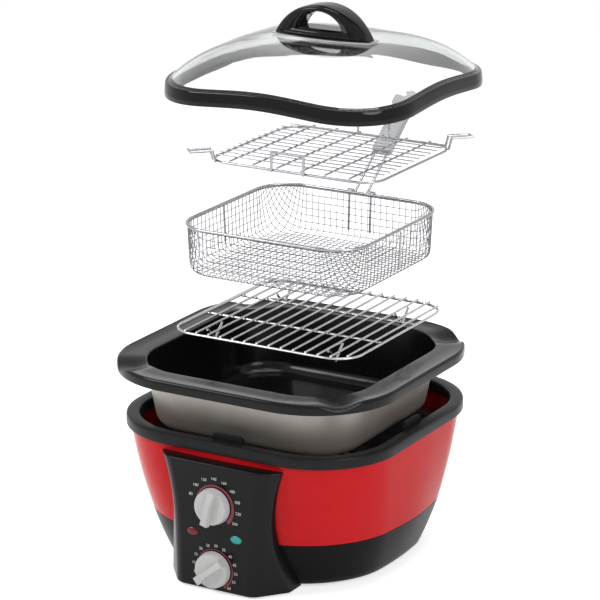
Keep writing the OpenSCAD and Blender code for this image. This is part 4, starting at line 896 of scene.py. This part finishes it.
# Lid handle
# A polished phenolic arch on a steel plate, held by one screw from below. It is widest over the finger
# hole and tapers to its two feet.
grip_low, grip_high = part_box("lid_handle")
handle_centre = (grip_low + grip_high) / 2
HANDLE_HALF = (grip_high.x - grip_low.x) / 2
HANDLE_H = grip_high.z - grip_low.z
HANDLE_MID, HANDLE_END, HANDLE_SOFT = 19 * MM, 11 * MM, 2.2 * MM
FINGER_HALF, FINGER_H, FINGER_UP = 30 * MM, 22 * MM, 11 * MM
ARCH_STEPS = 40
BASE_CUTS = 23
FACE_CUTS = 7
FACE_SWELL = 0.34
ARCH_CREASE = math.radians(40)


def bow(mesh, half, height, up):
    """Edges of a closed bow: an arc over a straight foot, standing at a height."""
    there = set(mesh.edges)
    radius = (half ** 2 + height ** 2) / (2 * height)
    first = mesh.verts.new((half, 0, up))
    swept = bmesh.ops.spin(mesh, geom=[first], cent=(0, 0, up + height - radius), axis=(0, -1, 0),
                           angle=2 * math.atan2(half, radius - height), steps=ARCH_STEPS)
    arc = [e for e in mesh.edges if e not in there]
    foot = mesh.edges.new((swept["geom_last"][0], first))
    cut = bmesh.ops.subdivide_edges(mesh, edges=[foot], cuts=BASE_CUTS)["geom_split"]
    return arc + [g for g in cut if isinstance(g, bmesh.types.BMEdge)]


shape = bmesh.new()
outer_bow = bow(shape, HANDLE_HALF, HANDLE_H, 0)
inner_bow = bow(shape, FINGER_HALF, FINGER_H, FINGER_UP)
side = bmesh.ops.bridge_loops(shape, edges=outer_bow + inner_bow)["faces"]
# Share of the way from the outer edge to the finger hole, which the new rows between them take over
share_in = shape.verts.layers.float.new("share_in")
for v in {v for e in inner_bow for v in e.verts}:
    v[share_in] = 1
across = {e for f in side for e in f.edges} - set(outer_bow) - set(inner_bow)
bmesh.ops.subdivide_edges(shape, edges=list(across), cuts=FACE_CUTS, use_grid_fill=True)
thick = bmesh.ops.extrude_face_region(shape, geom=shape.faces[:])["geom"]
front = {g for g in thick if isinstance(g, bmesh.types.BMVert)}
back = set(shape.verts) - front
for verts, sign in ((front, -1), (back, 1)):
    for v in verts:
        deep = HANDLE_END + (HANDLE_MID - HANDLE_END) * (1 - (v.co.x / HANDLE_HALF) ** 2)
        v.co.y = sign * deep * (1 - FACE_SWELL * abs(2 * v[share_in] - 1) ** 3)
creases = [e for e in shape.edges if len(e.link_faces) == 2 and e.calc_face_angle() > ARCH_CREASE]
bmesh.ops.bevel(shape, geom=creases, offset=HANDLE_SOFT, offset_type="OFFSET", affect="EDGES",
                segments=6, profile=0.5, material=-1, clamp_overlap=True)
bmesh.ops.translate(shape, vec=(handle_centre.x, handle_centre.y, grip_low.z), verts=shape.verts)
make_piece("lid_arch", shape, [phenolic], "lid", ["lid_handle"])

# Bring every piece's placement up to date
bpy.context.view_layer.update()
